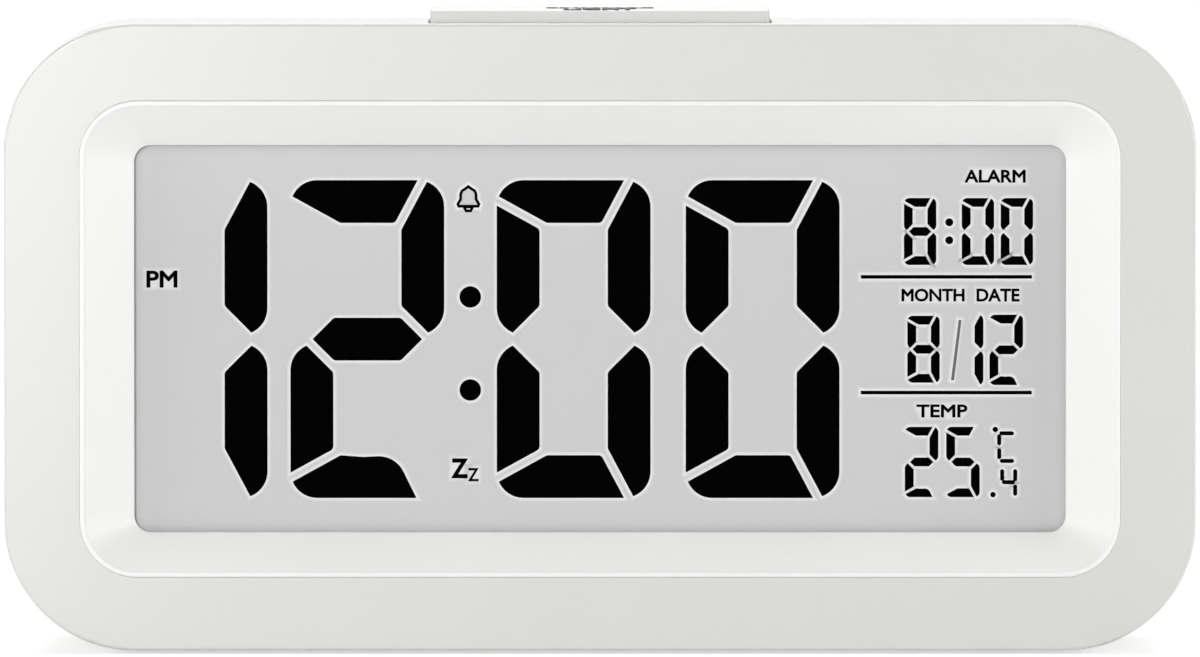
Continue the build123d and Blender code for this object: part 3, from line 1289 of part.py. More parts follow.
def build():
    os.makedirs("parts", exist_ok=True)
    for name, make in PARTS.items():
        export_step(make(), f"parts/{name}.step")
    for name, x in zip(KEY_NAMES, KEY_CENTRES):
        export_step(key(x), f"parts/{name}.step")
        export_step(key_plunger(x), f"parts/{name}_plunger.step")
    for index, name in enumerate(("lower_cell", "middle_cell", "upper_cell")):
        export_step(battery_cell(index), f"parts/{name}.step")
    export_step(group(foot_pads(FACE_Y + FOOT_FRONT_INSET)), "parts/front_feet.step")
    export_step(group(foot_pads(REAR_Y - FOOT_REAR_INSET)), "parts/rear_feet.step")
    print(f"least gap between the turns of a battery spring {spring_gap():.2f} mm")


build()
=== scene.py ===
"""Looks, light and camera of a digital alarm clock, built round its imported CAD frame."""
import logging
import math
from abc import ABC, abstractmethod
from collections.abc import Callable, Iterable, Sequence
from dataclasses import dataclass, replace
from enum import Enum
from typing import ClassVar

import bmesh
import bpy
import numpy as np
from bmesh.types import BMesh, BMVert
from bpy.types import ID, Material, Mesh, Node, NodeOutputs, NodeSocket, NodeTree, Object
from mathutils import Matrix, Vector


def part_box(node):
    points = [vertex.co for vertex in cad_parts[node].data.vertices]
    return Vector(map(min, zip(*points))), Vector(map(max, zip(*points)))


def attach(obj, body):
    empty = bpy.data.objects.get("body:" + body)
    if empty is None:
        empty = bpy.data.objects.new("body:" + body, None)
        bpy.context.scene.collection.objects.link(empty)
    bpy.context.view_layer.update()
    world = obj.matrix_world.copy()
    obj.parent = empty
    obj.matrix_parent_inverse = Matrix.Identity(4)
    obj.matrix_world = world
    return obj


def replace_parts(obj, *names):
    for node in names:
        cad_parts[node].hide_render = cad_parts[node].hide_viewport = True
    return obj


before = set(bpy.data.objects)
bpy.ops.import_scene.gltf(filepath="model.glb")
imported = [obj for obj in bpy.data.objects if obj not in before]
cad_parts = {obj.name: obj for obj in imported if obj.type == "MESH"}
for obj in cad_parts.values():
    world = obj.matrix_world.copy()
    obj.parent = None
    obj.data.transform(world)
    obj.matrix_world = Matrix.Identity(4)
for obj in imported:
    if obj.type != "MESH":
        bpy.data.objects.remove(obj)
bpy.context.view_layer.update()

LOG = logging.getLogger("alarm_clock")

Colour = tuple[float, float, float]
Triple = tuple[float, float, float]
Point = tuple[float, float]
Area = tuple[Point, Point]
Wrap = Callable[[Vector], Vector]
Values = dict[str | int, object]

WHITE = (1.0, 1.0, 1.0)
# Points of a mesh that lie within this many metres are one.
WELD = 1e-7
# Least cosine between a corner's way out and that of its sides, so that sharp corners don't shoot out.
BLUNTEST = 0.55
# Two unit vectors whose sum is shorter than this point opposite ways.
OPPOSED = 1e-3
# Cells per metre of the sparkle on the display's film.
SPARKLE = 16000.0


def grey(level: float) -> Colour:
    """Returns a neutral colour."""
    return (level, level, level)


def shaded(colour: Colour, share: float) -> Colour:
    """Returns the colour times a share."""
    return tuple(share * value for value in colour)


class Graph:
    """Adds nodes to one node tree and joins them."""

    def __init__(self, tree: NodeTree) -> None:
        """Keeps the tree of a material, a group or the world."""
        self.tree = tree

    def feed(self, node: Node, values: Values) -> None:
        """Links sockets to a node's inputs, and sets plain values on the others.

        Args:
            node: the node.
            values: a socket, a number or a colour for each input, by its name or number.
        """
        for key, value in values.items():
            socket = node.inputs[key]
            if isinstance(value, NodeSocket):
                self.tree.links.new(value, socket)
            else:
                socket.default_value = (*value, 1.0) if socket.type == "RGBA" else value

    def add(self, kind: str, values: Values | None = None, **settings: object) -> Node:
        """Adds a node.

        Args:
            kind: the node's type name after "ShaderNode".
            values: sockets, numbers or colours for its inputs.
            **settings: properties of the node itself.

        Returns:
            The new node.
        """
        node = self.tree.nodes.new("ShaderNode" + kind)
        for key, value in settings.items():
            setattr(node, key, value)
        self.feed(node, values or {})
        return node

    def math(self, operation: str, first: object, second: object = 0.0, clamp: bool = False) -> NodeSocket:
        """Returns the result of a Math node on two sockets or numbers, kept between 0 and 1 with clamp."""
        return self.add("Math", {0: first, 1: second}, operation=operation, use_clamp=clamp).outputs[0]

    def blend(self, factor: NodeSocket, low: object, high: object) -> NodeSocket:
        """Returns a blend of two colours or sockets, all low at factor 0 and all high at 1."""
        return self.add("Mix", {"Factor": factor, 6: low, 7: high}, data_type="RGBA").outputs[2]

    def spread(self, value: NodeSocket, low: float, high: float) -> NodeSocket:
        """Returns a value with 0 to 1 mapped on to low to high."""
        return self.add("MapRange", {"Value": value, "To Min": low, "To Max": high}).outputs["Result"]

    def sway(self, value: NodeSocket, mask: NodeSocket, reach: float) -> NodeSocket:
        """Returns a value that swings by reach either way with a mask, kept between 0 and 1."""
        return self.math("ADD", value, self.spread(mask, -reach, reach), clamp=True)

    def place(self) -> NodeSocket:
        """Returns the object's own coordinates, in metres."""
        return self.add("TexCoord").outputs["Object"]

    def axes(self) -> NodeOutputs:
        """Returns the object's own X, Y and Z, in metres."""
        return self.add("SeparateXYZ", {"Vector": self.place()}).outputs

    def noise(self, scale: object, detail: float, stretch: Triple = (1.0, 1.0, 1.0)) -> NodeSocket:
        """Returns noise over the object's own coordinates, of scale cells per metre and detail finer layers."""
        place = self.add("Mapping", {"Vector": self.place(), "Scale": stretch}).outputs["Vector"]
        return self.add("TexNoise", {"Vector": place, "Scale": scale, "Detail": detail}).outputs[0]

    def bump(self, height: NodeSocket, depth: float) -> NodeSocket:
        """Returns the normal of a height whose full depth is in metres."""
        return self.add("Bump", {"Height": height, "Distance": depth}).outputs["Normal"]


class SurfaceGroup(ABC):
    """An effect that several finishes share, as a node group with named sockets."""

    name: ClassVar[str]
    inputs: ClassVar[dict[str, str]]
    outputs: ClassVar[dict[str, str]]

    @classmethod
    def place(cls, graph: Graph, values: Values) -> NodeOutputs:
        """Puts the group into a material with values for its inputs, and returns its outputs."""
        return graph.add("Group", values, node_tree=cls.tree()).outputs

    @classmethod
    def tree(cls) -> NodeTree:
        """Returns the group's tree, made on first use."""
        made = bpy.data.node_groups.get(cls.name)
        if made is None:
            made = bpy.data.node_groups.new(cls.name, "ShaderNodeTree")
            for way, sockets in (("INPUT", cls.inputs), ("OUTPUT", cls.outputs)):
                for name, kind in sockets.items():
                    made.interface.new_socket(name, in_out=way, socket_type="NodeSocket" + kind)
            graph = Graph(made)
            start, end = made.nodes.new("NodeGroupInput"), made.nodes.new("NodeGroupOutput")
            graph.feed(end, cls.fill(graph, start.outputs))
        return made

    @classmethod
    @abstractmethod
    def fill(cls, graph: Graph, given: NodeOutputs) -> Values:
        """Builds the effect from what the group is given, and returns what it puts out."""


class MouldedSkin(SurfaceGroup):
    """Skin of moulded plastic: cloudy tone, eroded grain, and a few rubbed patches."""

    name = "moulded_skin"
    inputs = {"Color": "Color", "Variation": "Float", "Grain Scale": "Float", "Roughness": "Float"}
    outputs = {"Color": "Color", "Roughness": "Float", "Height": "Float"}
    CLOUD_SCALE, CLOUD_TONE, CLOUD_SATURATION = 18.0, 0.9, 1.15
    RUB_SCALE, RUB_REACH = 70.0, 0.03
    FINE_SCALE, FINE_SHARE = 3.1, 0.4

    @classmethod
    def fill(cls, graph: Graph, given: NodeOutputs) -> Values:
        """Builds clouds for the tone, rubbed patches for the roughness and grain for the height.

        Args:
            graph: the group's graph.
            given: what the group is given.

        Returns:
            What the group puts out.
        """
        darker = graph.add("HueSaturation", {
            "Color": given["Color"], "Value": cls.CLOUD_TONE, "Saturation": cls.CLOUD_SATURATION,
        }).outputs["Color"]
        clouds = graph.math("MULTIPLY", graph.noise(cls.CLOUD_SCALE, 3.0), given["Variation"], clamp=True)
        coarse = graph.noise(given["Grain Scale"], 2.0)
        fine = graph.noise(graph.math("MULTIPLY", given["Grain Scale"], cls.FINE_SCALE), 1.0)
        return {
            "Color": graph.blend(clouds, given["Color"], darker),
            "Roughness": graph.sway(given["Roughness"], graph.noise(cls.RUB_SCALE, 4.0), cls.RUB_REACH),
            "Height": graph.math("ADD", coarse, graph.math("MULTIPLY", fine, cls.FINE_SHARE)),
        }


class FineScratches(SurfaceGroup):
    """Hairline scratches, drawn out along one axis, as on rolled or plated metal and on film."""

    name = "fine_scratches"
    inputs = {"Scale": "Float", "Roughness": "Float"}
    outputs = {"Roughness": "Float", "Height": "Float"}
    STRETCH = (0.04, 1.0, 1.0)
    REACH = 0.12

    @classmethod
    def fill(cls, graph: Graph, given: NodeOutputs) -> Values:
        """Builds long thin noise for roughness and height.

        Args:
            graph: the group's graph.
            given: what the group is given.

        Returns:
            What the group puts out.
        """
        hair = graph.noise(given["Scale"], 3.0, cls.STRETCH)
        return {"Roughness": graph.sway(given["Roughness"], hair, cls.REACH), "Height": hair}


class Speckle(SurfaceGroup):
    """Small specks of a second colour with a matching height, as in rubber, foam and board mask."""

    name = "speckle"
    inputs = {"Ground": "Color", "Speck": "Color", "Scale": "Float", "Cover": "Float"}
    outputs = {"Color": "Color", "Mask": "Float", "Height": "Float"}
    HIGHEST_LIMIT, LIMIT_FALL, EDGE = 0.75, 0.5, 8.0

    @classmethod
    def fill(cls, graph: Graph, given: NodeOutputs) -> Values:
        """Builds a mask from noise above a limit that falls with the cover.

        Args:
            graph: the group's graph.
            given: what the group is given.

        Returns:
            What the group puts out.
        """
        grain = graph.noise(given["Scale"], 4.0)
        fall = graph.math("MULTIPLY", given["Cover"], cls.LIMIT_FALL)
        above = graph.math("SUBTRACT", grain, graph.math("SUBTRACT", cls.HIGHEST_LIMIT, fall))
        mask = graph.math("MULTIPLY", above, cls.EDGE, clamp=True)
        return {"Color": graph.blend(mask, given["Ground"], given["Speck"]), "Mask": mask, "Height": grain}


@dataclass(frozen=True)
class Finish(ABC):
    """A surface finish that can dress any number of pieces.

    Attributes:
        name: the material's name.
    """

    name: str

    def material(self) -> Material:
        """Returns the finish as a material, made on first use."""
        made = bpy.data.materials.get(self.name)
        if made is None:
            made = bpy.data.materials.new(self.name)
            made.use_nodes = True
            graph = Graph(made.node_tree)
            graph.feed(made.node_tree.nodes["Principled BSDF"], self.build(graph))
        return made

    @abstractmethod
    def build(self, graph: Graph) -> Values:
        """Builds the finish's nodes, and returns what the Principled shader is fed."""


@dataclass(frozen=True)
class MouldedPlastic(Finish):
    """Injection-moulded plastic with an eroded tool texture.

    Attributes:
        colour: the plastic's colour.
        roughness: its mean roughness.
        grain_scale: cells of grain per metre.
        grain_depth: depth of the grain in metres.
        variation: how far the tone drifts over a piece.
    """

    colour: Colour
    roughness: float
    grain_scale: float = 2600.0
    grain_depth: float = 0.000012
    variation: float = 0.05

    def build(self, graph: Graph) -> Values:
        """Builds the moulded skin.

        Args:
            graph: the material's graph.

        Returns:
            What the Principled shader is fed.
        """
        skin = MouldedSkin.place(graph, {
            "Color": self.colour, "Variation": self.variation,
            "Grain Scale": self.grain_scale, "Roughness": self.roughness,
        })
        return {"Base Color": skin["Color"], "Roughness": skin["Roughness"], "IOR": 1.54,
                "Normal": graph.bump(skin["Height"], self.grain_depth)}


@dataclass(frozen=True)
class PlatedMetal(Finish):
    """Plated or rolled metal with hairline scratches and faint stains.

    Attributes:
        colour: the metal's colour.
        roughness: its mean roughness.
        scratch_scale: scratches per metre across their run.
    """

    colour: Colour
    roughness: float = 0.3
    scratch_scale: float = 5000.0
    SCRATCH_DEPTH = 0.000004
    STAIN_SCALE, STAIN_TONE = 240.0, 0.8

    def build(self, graph: Graph) -> Values:
        """Builds scratches for roughness and height, and clouds for the stains.

        Args:
            graph: the material's graph.

        Returns:
            What the Principled shader is fed.
        """
        hair = FineScratches.place(graph, {"Scale": self.scratch_scale, "Roughness": self.roughness})
        stained = shaded(self.colour, self.STAIN_TONE)
        return {"Base Color": graph.blend(graph.noise(self.STAIN_SCALE, 3.0), self.colour, stained),
                "Roughness": hair["Roughness"], "Metallic": 1.0,
                "Normal": graph.bump(hair["Height"], self.SCRATCH_DEPTH)}


@dataclass(frozen=True)
class Speckled(Finish):
    """Rubber, foam, film or board mask: a ground colour with fine specks.

    Attributes:
        ground: the main colour.
        speck: the specks' colour.
        scale: specks per metre.
        cover: how much of the surface the specks take, from 0 to 1.
        roughness: the roughness.
        depth: depth of the texture in metres.
    """

    ground: Colour
    speck: Colour
    scale: float = 1800.0
    cover: float = 0.4
    roughness: float = 0.7
    depth: float = 0.00002
    SPECK_ROUGHER = 0.12

    def build(self, graph: Graph) -> Values:
        """Builds the specks for colour and height, with a little of them in the roughness.

        Args:
            graph: the material's graph.

        Returns:
            What the Principled shader is fed.
        """
        specks = Speckle.place(graph, {
            "Ground": self.ground, "Speck": self.speck, "Scale": self.scale, "Cover": self.cover,
        })
        rough = graph.spread(specks["Mask"], self.roughness, self.roughness + self.SPECK_ROUGHER)
        return {"Base Color": specks["Color"], "Roughness": rough,
                "Normal": graph.bump(specks["Height"], self.depth)}


@dataclass(frozen=True)
class ClearSheet(Finish):
    """Glass or acrylic with a faint tint and a few hairlines.

    Attributes:
        tint: the colour of light that passes.
        roughness: the roughness of its hairlines.
    """

    tint: Colour
    roughness: float = 0.05
    SCRATCH_SCALE, SCRATCH_SHARE = 3000.0, 0.6
    CLOUD_SCALE, CLOUD_TONE = 90.0, 0.92

    def build(self, graph: Graph) -> Values:
        """Builds a transmitting shader whose roughness carries the hairlines.

        Args:
            graph: the material's graph.

        Returns:
            What the Principled shader is fed.
        """
        hair = FineScratches.place(graph, {"Scale": self.SCRATCH_SCALE, "Roughness": self.roughness})
        deeper = shaded(self.tint, self.CLOUD_TONE)
        return {"Base Color": graph.blend(graph.noise(self.CLOUD_SCALE, 2.0), self.tint, deeper),
                "Roughness": graph.math("MULTIPLY", hair["Roughness"], self.SCRATCH_SHARE, clamp=True),
                "Transmission Weight": 1.0, "IOR": 1.5}


@dataclass(frozen=True)
class DisplayFilm(Finish):
    """Anti-glare film over the liquid crystal, with painted shade that darkens it towards the window's rim.

    Attributes:
        colour: the film's colour in the middle.
        rim: its colour at the rim of the window, darker as painted shade.
        half: half the window's width and height in metres.
        middle: height of the window's middle in metres.
        fall: width of the rim's painted shade in metres.
    """

    colour: Colour
    rim: Colour
    half: Point
    middle: float
    fall: float
    SHADE_FALL_POWER = 1.5
    CLOUD_SCALE, CLOUD_SHARE = 30.0, 0.05
    SCRATCH_SCALE, ROUGHNESS, SPARKLE_DEPTH = 9000.0, 0.5, 0.000002

    def build(self, graph: Graph) -> Values:
        """Builds the rim's painted shade from the distance to the window's edge, and a fine sparkle.

        Args:
            graph: the material's graph.

        Returns:
            What the Principled shader is fed.
        """
        place = graph.axes()
        # Painted shade: the film's colour darkens towards the window's edge.
        across = graph.math("SUBTRACT", self.half[0], graph.math("ABSOLUTE", place["X"]))
        rise = graph.math("ABSOLUTE", graph.math("SUBTRACT", place["Z"], self.middle))
        upright = graph.math("SUBTRACT", self.half[1], rise)
        inward = graph.math("DIVIDE", graph.math("MINIMUM", across, upright), self.fall, clamp=True)
        depth = graph.math("POWER", graph.math("SUBTRACT", 1.0, inward), self.SHADE_FALL_POWER)
        cloud = graph.math("MULTIPLY", graph.noise(self.CLOUD_SCALE, 2.0), self.CLOUD_SHARE)
        hair = FineScratches.place(graph, {"Scale": self.SCRATCH_SCALE, "Roughness": self.ROUGHNESS})
        return {"Base Color": graph.blend(graph.math("ADD", depth, cloud, clamp=True), self.colour, self.rim),
                "Roughness": hair["Roughness"],
                "Normal": graph.bump(graph.noise(SPARKLE, 1.0), self.SPARKLE_DEPTH)}


@dataclass(frozen=True)
class DisplayInk(Finish):
    """Dark liquid crystal or print, slightly uneven in tone.

    Attributes:
        colour: the dark tone.
        lift: how much lighter its thin spots are.
        roughness: the roughness where it is thick.
        gloss: the specular level.
        faint: middle and size, across and up in metres, of the part that is driven only half.
        faint_colour: the tone of that part.
    """

    colour: Colour
    lift: float
    roughness: float = 0.5
    gloss: float = 0.25
    faint: Area | None = None
    faint_colour: Colour = grey(0.12)
    SPOT_SCALE, SPOT_ROUGHER = 900.0, 0.1

    def build(self, graph: Graph) -> Values:
        """Builds thin spots in the tone and in the roughness, and the faint part.

        Args:
            graph: the material's graph.

        Returns:
            What the Principled shader is fed.
        """
        thin = graph.noise(self.SPOT_SCALE, 3.0)
        tone = graph.blend(thin, self.colour, tuple(value + self.lift for value in self.colour))
        if self.faint:
            place = graph.axes()
            inside = []
            for axis, middle, size in zip("XZ", *self.faint):
                away = graph.math("ABSOLUTE", graph.math("SUBTRACT", place[axis], middle))
                inside.append(graph.math("LESS_THAN", away, size / 2))
            tone = graph.blend(graph.math("MULTIPLY", *inside), tone, self.faint_colour)
        rough = graph.spread(thin, self.roughness, self.roughness + self.SPOT_ROUGHER)
        return {"Base Color": tone, "Roughness": rough, "Specular IOR Level": self.gloss}


@dataclass(frozen=True)
class LightRim(Finish):
    """The pale fringe round a dark figure, strongest at the figure.

    Attributes:
        colour: the film's own colour, at the fringe's outer edge.
        pale: the colour at the figure.
    """

    colour: Colour
    pale: Colour
    ROUGHNESS = (0.5, 0.6)

    def build(self, graph: Graph) -> Values:
        """Blends the two colours by the mesh's own fringe value.

        Args:
            graph: the material's graph.

        Returns:
            What the Principled shader is fed.
        """
        value = graph.add("Attribute", attribute_name=Fringe.ATTRIBUTE).outputs["Fac"]
        return {"Base Color": graph.blend(value, self.colour, self.pale),
                "Roughness": graph.spread(graph.noise(SPARKLE, 1.0), *self.ROUGHNESS)}


@dataclass(frozen=True)
class CellJacket(Finish):
    """Printed jacket of a battery cell, with a band at its positive end and bare steel ends.

    Attributes:
        start: x of the negative end in metres.
        way: 1 where the positive end points along +X, otherwise -1.
    """

    start: float
    way: int
    LENGTH, BAND, BASE, SHOULDER = 0.0433, 0.74, 0.014, 0.986
    COLOUR, BAND_COLOUR = (0.02, 0.05, 0.16), (0.5, 0.28, 0.1)
    WORN_COLOUR, STEEL_COLOUR = grey(0.5), (0.62, 0.62, 0.6)
    WEAR_SCALE, WEAR_SHARE = 400.0, 0.12
    METALLIC = (0.35, 1.0)
    SCRATCH_SCALE, ROUGHNESS, SCRATCH_DEPTH = 4000.0, 0.34, 0.000003

    def build(self, graph: Graph) -> Values:
        """Builds the bands from the distance along the cell.

        Args:
            graph: the material's graph.

        Returns:
            What the Principled shader is fed.
        """
        along = graph.math("MULTIPLY", graph.math("SUBTRACT", graph.axes()["X"], self.start), self.way)
        share = graph.math("DIVIDE", along, self.LENGTH)
        banded = graph.blend(graph.math("GREATER_THAN", share, self.BAND), self.COLOUR, self.BAND_COLOUR)
        wear = graph.math("MULTIPLY", graph.noise(self.WEAR_SCALE, 4.0), self.WEAR_SHARE)
        steel = graph.math("ADD", graph.math("LESS_THAN", share, self.BASE),
                           graph.math("GREATER_THAN", share, self.SHOULDER), clamp=True)
        worn = graph.blend(wear, banded, self.WORN_COLOUR)
        hair = FineScratches.place(graph, {"Scale": self.SCRATCH_SCALE, "Roughness": self.ROUGHNESS})
        return {"Base Color": graph.blend(steel, worn, self.STEEL_COLOUR),
                "Metallic": graph.spread(steel, *self.METALLIC), "Roughness": hair["Roughness"],
                "Normal": graph.bump(hair["Height"], self.SCRATCH_DEPTH)}


@dataclass(frozen=True)
class StudioFloor(Finish):
    """Pale floor that reads as white to the camera and keeps the clock's soft shadow.

    Attributes:
        colour: the floor's own colour.
        glow: strength of the white that the camera sees on top of it by the clock.
        near: how far from the clock the glow begins to rise, in metres.
        far: how far away it is full.
    """

    colour: Colour
    glow: float
    near: float = 0.2
    far: float = 1.2
    MOTTLE_SCALE, MOTTLE_TONE = 3.0, 0.98

    def build(self, graph: Graph) -> Values:
        """Builds a matt floor with white for the rays that look at it, full in reflections and through glass.

        Args:
            graph: the material's graph.

        Returns:
            What the Principled shader is fed.
        """
        reach = graph.add("VectorMath", {0: graph.place()}, operation="LENGTH").outputs["Value"]
        beyond = graph.math("SUBTRACT", reach, self.near)
        away = graph.math("DIVIDE", beyond, self.far - self.near, clamp=True)
        rays = graph.add("LightPath").outputs
        looked_at = graph.math("MULTIPLY", rays["Is Camera Ray"], graph.spread(away, self.glow, 1.0))
        mirrored = graph.math("MAXIMUM", rays["Is Glossy Ray"], rays["Is Transmission Ray"])
        mottled = shaded(self.colour, self.MOTTLE_TONE)
        return {"Base Color": graph.blend(graph.noise(self.MOTTLE_SCALE, 2.0), self.colour, mottled),
                "Roughness": 0.9, "Specular IOR Level": 0.0, "Emission Color": WHITE,
                "Emission Strength": graph.math("MAXIMUM", looked_at, mirrored)}


WHITE_ABS = MouldedPlastic("housing_abs", (0.70, 0.696, 0.679), 0.25, grain_depth=0.000002, variation=0.03)
# The frame's white is lighter than the housing's, painted light that brightens its recessed slopes.
LIGHTENED_FRAME_ABS = MouldedPlastic("frame_abs_lightened", (0.91, 0.908, 0.9), 0.38, grain_depth=0.000003)
BUTTON_ABS = MouldedPlastic("button_abs", (0.73, 0.728, 0.72), 0.5, grain_scale=3200.0)
HOLDER_ABS = MouldedPlastic("holder_abs", (0.72, 0.72, 0.7), 0.5)
BLACK_PLASTIC = MouldedPlastic("black_moulding", (0.025, 0.025, 0.027), 0.45, variation=0.3)
SPEAKER_PLASTIC = MouldedPlastic("speaker_cone", (0.018, 0.018, 0.02), 0.6, grain_scale=1500.0)
LED_RESIN = MouldedPlastic("led_resin", (0.85, 0.8, 0.62), 0.25, grain_depth=0.000003)
STEEL = PlatedMetal("plated_steel", (0.62, 0.62, 0.61))
SPRING_STEEL = PlatedMetal("spring_steel", (0.66, 0.65, 0.62), roughness=0.24, scratch_scale=9000.0)
RUBBER = Speckled("foot_rubber", (0.42, 0.42, 0.41), (0.5, 0.5, 0.49), roughness=0.75)
# The foam is coloured paler than the gasket's own grey, as painted light that lifts the shade in the gap round
# the film.
LIGHTENED_FOAM = Speckled("gasket_foam_lightened", grey(0.75), grey(0.62), 2600.0, 0.6, 0.9, 0.00012)
ELASTOMER = Speckled("connector_elastomer", (0.62, 0.28, 0.3), (0.2, 0.1, 0.1), 5000.0, 0.5, 0.6)
BOARD = Speckled("board_mask", (0.02, 0.16, 0.07), (0.04, 0.22, 0.11), 700.0, 0.5, 0.3, 0.00003)
FILM = Speckled("reflector_film", (0.86, 0.86, 0.85), (0.8, 0.8, 0.79), 1200.0, 0.4, 0.55, 0.000008)
RED_WIRE = Speckled("wire_red", (0.5, 0.02, 0.015), (0.6, 0.05, 0.04), 2200.0, 0.3, 0.45, 0.00001)
BLACK_WIRE = Speckled("wire_black", grey(0.015), grey(0.04), 2200.0, 0.3, 0.45, 0.00001)
RIBBON = Speckled("wire_ribbon", (0.42, 0.42, 0.41), grey(0.5), 1400.0, 0.4, 0.5, 0.00002)
GLASS = ClearSheet("display_glass_sheet", (0.9, 0.95, 0.93))
ACRYLIC = ClearSheet("light_guide_sheet", (0.95, 0.97, 0.98), roughness=0.08)
LCD_BLACK = DisplayInk("lcd_black", grey(0.0008), lift=0.0008, gloss=0.0)
LCD_FAINT = DisplayInk("lcd_faint", grey(0.16), lift=0.02, gloss=0.0)
PRINT_BLACK = DisplayInk("print_black", grey(0.02), lift=0.02, roughness=0.6)
PRINT_WHITE = DisplayInk("print_white", grey(0.8), lift=0.05, roughness=0.45)
PRINT_GREY = DisplayInk("print_grey", grey(0.13), lift=0.03, roughness=0.6)


def dress(finish: Finish, *nodes: str) -> None:
    """Gives CAD nodes one finish over their whole surface.

    Args:
        finish: the finish.
        *nodes: names of CAD nodes.
    """
    for name in nodes:
        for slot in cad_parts[name].material_slots:
            slot.material = finish.material()
        LOG.info("dressed %s in %s", name, finish.name)


def in_scene(name: str, data: ID) -> Object:
    """Adds an object to the scene.

    Args:
        name: the object's name.
        data: its mesh, letters, lamp or camera.

    Returns:
        The object.
    """
    made = bpy.data.objects.new(name, data)
    bpy.context.scene.collection.objects.link(made)
    return made


def add_piece(name: str, mesh: Mesh, finish: Finish, body: str) -> Object:
    """Adds a finished piece that rides on a body.

    Args:
        name: the piece's name.
        mesh: its mesh, in the frame's metres.
        finish: its finish.
        body: the CAD body that carries it.

    Returns:
        The piece.
    """
    mesh.materials.clear()
    mesh.materials.append(finish.material())
    piece = in_scene(name, mesh)
    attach(piece, body)
    LOG.info("added %s with %d faces", name, len(mesh.polygons))
    return piece


def middle_of(node: str) -> Vector:
    """Returns the middle of a CAD node's box."""
    low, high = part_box(node)
    return (low + high) / 2


def evaluated(thing: Object) -> Mesh:
    """Returns an object's mesh with its letters drawn or its modifiers applied."""
    return bpy.data.meshes.new_from_object(thing.evaluated_get(bpy.context.evaluated_depsgraph_get()))


def opened(meshes: Iterable[Mesh], weld: float = WELD) -> BMesh:
    """Opens meshes for editing.

    Args:
        meshes: the meshes.
        weld: how close doubled points are that become one.

    Returns:
        The meshes as one editable mesh.
    """
    work = bmesh.new()
    for mesh in meshes:
        work.from_mesh(mesh)
    bmesh.ops.remove_doubles(work, verts=work.verts, dist=weld)
    return work


def closed(work: BMesh) -> Mesh:
    """Turns an editable mesh's faces outwards, and puts its points and faces in an order that never changes.

    Args:
        work: the editable mesh, which is freed.

    Returns:
        The plain mesh.
    """
    bmesh.ops.recalc_face_normals(work, faces=work.faces)
    for parts, key in ((work.verts, lambda point: tuple(point.co)),
                       (work.faces, lambda face: sorted(tuple(point.co) for point in face.verts))):
        places = {part: place for place, part in enumerate(sorted(parts, key=key))}
        parts.sort(key=places.get)
    made = bpy.data.meshes.new("joined")
    work.to_mesh(made)
    work.free()
    return made


def merged(meshes: Sequence[Mesh]) -> Mesh:
    """Joins meshes into one.

    Args:
        meshes: the meshes, which are removed.

    Returns:
        The joined mesh.
    """
    made = closed(opened(meshes))
    for mesh in meshes:
        bpy.data.meshes.remove(mesh)
    return made


def prism(low: Sequence[Vector], high: Sequence[Vector]) -> Mesh:
    """Builds the solid between two rings.

    Args:
        low: the points of the ring below.
        high: the points of the ring above, in the same order.

    Returns:
        The solid's mesh.
    """
    count = len(low)
    faces = [tuple(range(count))[::-1], tuple(range(count, 2 * count))]
    faces += [(i, (i + 1) % count, count + (i + 1) % count, count + i) for i in range(count)]
    made = bpy.data.meshes.new("plate")
    made.from_pydata([*low, *high], [], faces)
    return made


def plate(outline: Sequence[Point], wrap: Wrap, thickness: float) -> Mesh:
    """Returns a thin plate from an outline in the right and up of the surface that it is wrapped on."""
    return prism(*([wrap(Vector((x, y, level))) for x, y in outline] for level in (0.0, thickness)))


def runs_left(outline: Sequence[Point]) -> bool:
    """Tells whether an outline runs counterclockwise."""
    return sum(a[0] * b[1] - b[0] * a[1] for a, b in zip(outline, [*outline[1:], outline[0]])) > 0


def grown(outline: Sequence[Point], reach: float) -> list[Point]:
    """Moves each side of a closed outline outwards.

    Args:
        outline: its corners, in order.
        reach: how far each side moves; below 0 moves it inwards.

    Returns:
        The corners of the moved outline.
    """
    points = [Vector(point) for point in outline]
    turn = 1.0 if runs_left(outline) else -1.0
    moved = []
    for i, point in enumerate(points):
        sides = (point - points[i - 1], points[(i + 1) % len(points)] - point)
        before, after = (Vector((side.y, -side.x)).normalized() * turn for side in sides)
        lean = before + after
        lean = (before if lean.length < OPPOSED else lean).normalized()
        moved.append(tuple(point + lean * (reach / max(lean.dot(before), BLUNTEST))))
    return moved


def hull(points: Sequence[Point]) -> list[Point]:
    """Finds the convex outline of flat points.

    Args:
        points: the points, in any order.

    Returns:
        The outline's corners, counterclockwise.
    """
    halves = []
    for ordered in (sorted(points), sorted(points, reverse=True)):
        half: list[Point] = []
        for x, y in ordered:
            while len(half) > 1 and ((half[-1][0] - half[-2][0]) * (y - half[-2][1])
                                     <= (half[-1][1] - half[-2][1]) * (x - half[-2][0])):
                half.pop()
            half.append((x, y))
        halves += half[:-1]
    return halves


def thinned(outline: Sequence[Point], least: float) -> list[Point]:
    """Drops corners that lie closer together than a least distance.

    Args:
        outline: the corners of a closed outline, in order.
        least: the least distance between two corners.

    Returns:
        The corners that stay.
    """
    kept: list[Point] = []
    for point in outline:
        if not kept or math.dist(point, kept[-1]) > least:
            kept.append(point)
    while math.dist(kept[0], kept[-1]) <= least:
        kept.pop()
    return kept


class Side(Enum):
    """A side of the clock that carries flat marks, with its right and outward directions."""

    FRONT = ((1, 0, 0), (0, -1, 0))
    BACK = ((-1, 0, 0), (0, 1, 0))

    def wrap(self, y: float) -> Wrap:
        """Returns the mapping of a mark's own right, up and out on to this side, whose surface lies at y."""
        right, out = (Vector(way) for way in self.value)
        return lambda point: right * point.x + Vector((0, y, point.y)) + out * point.z


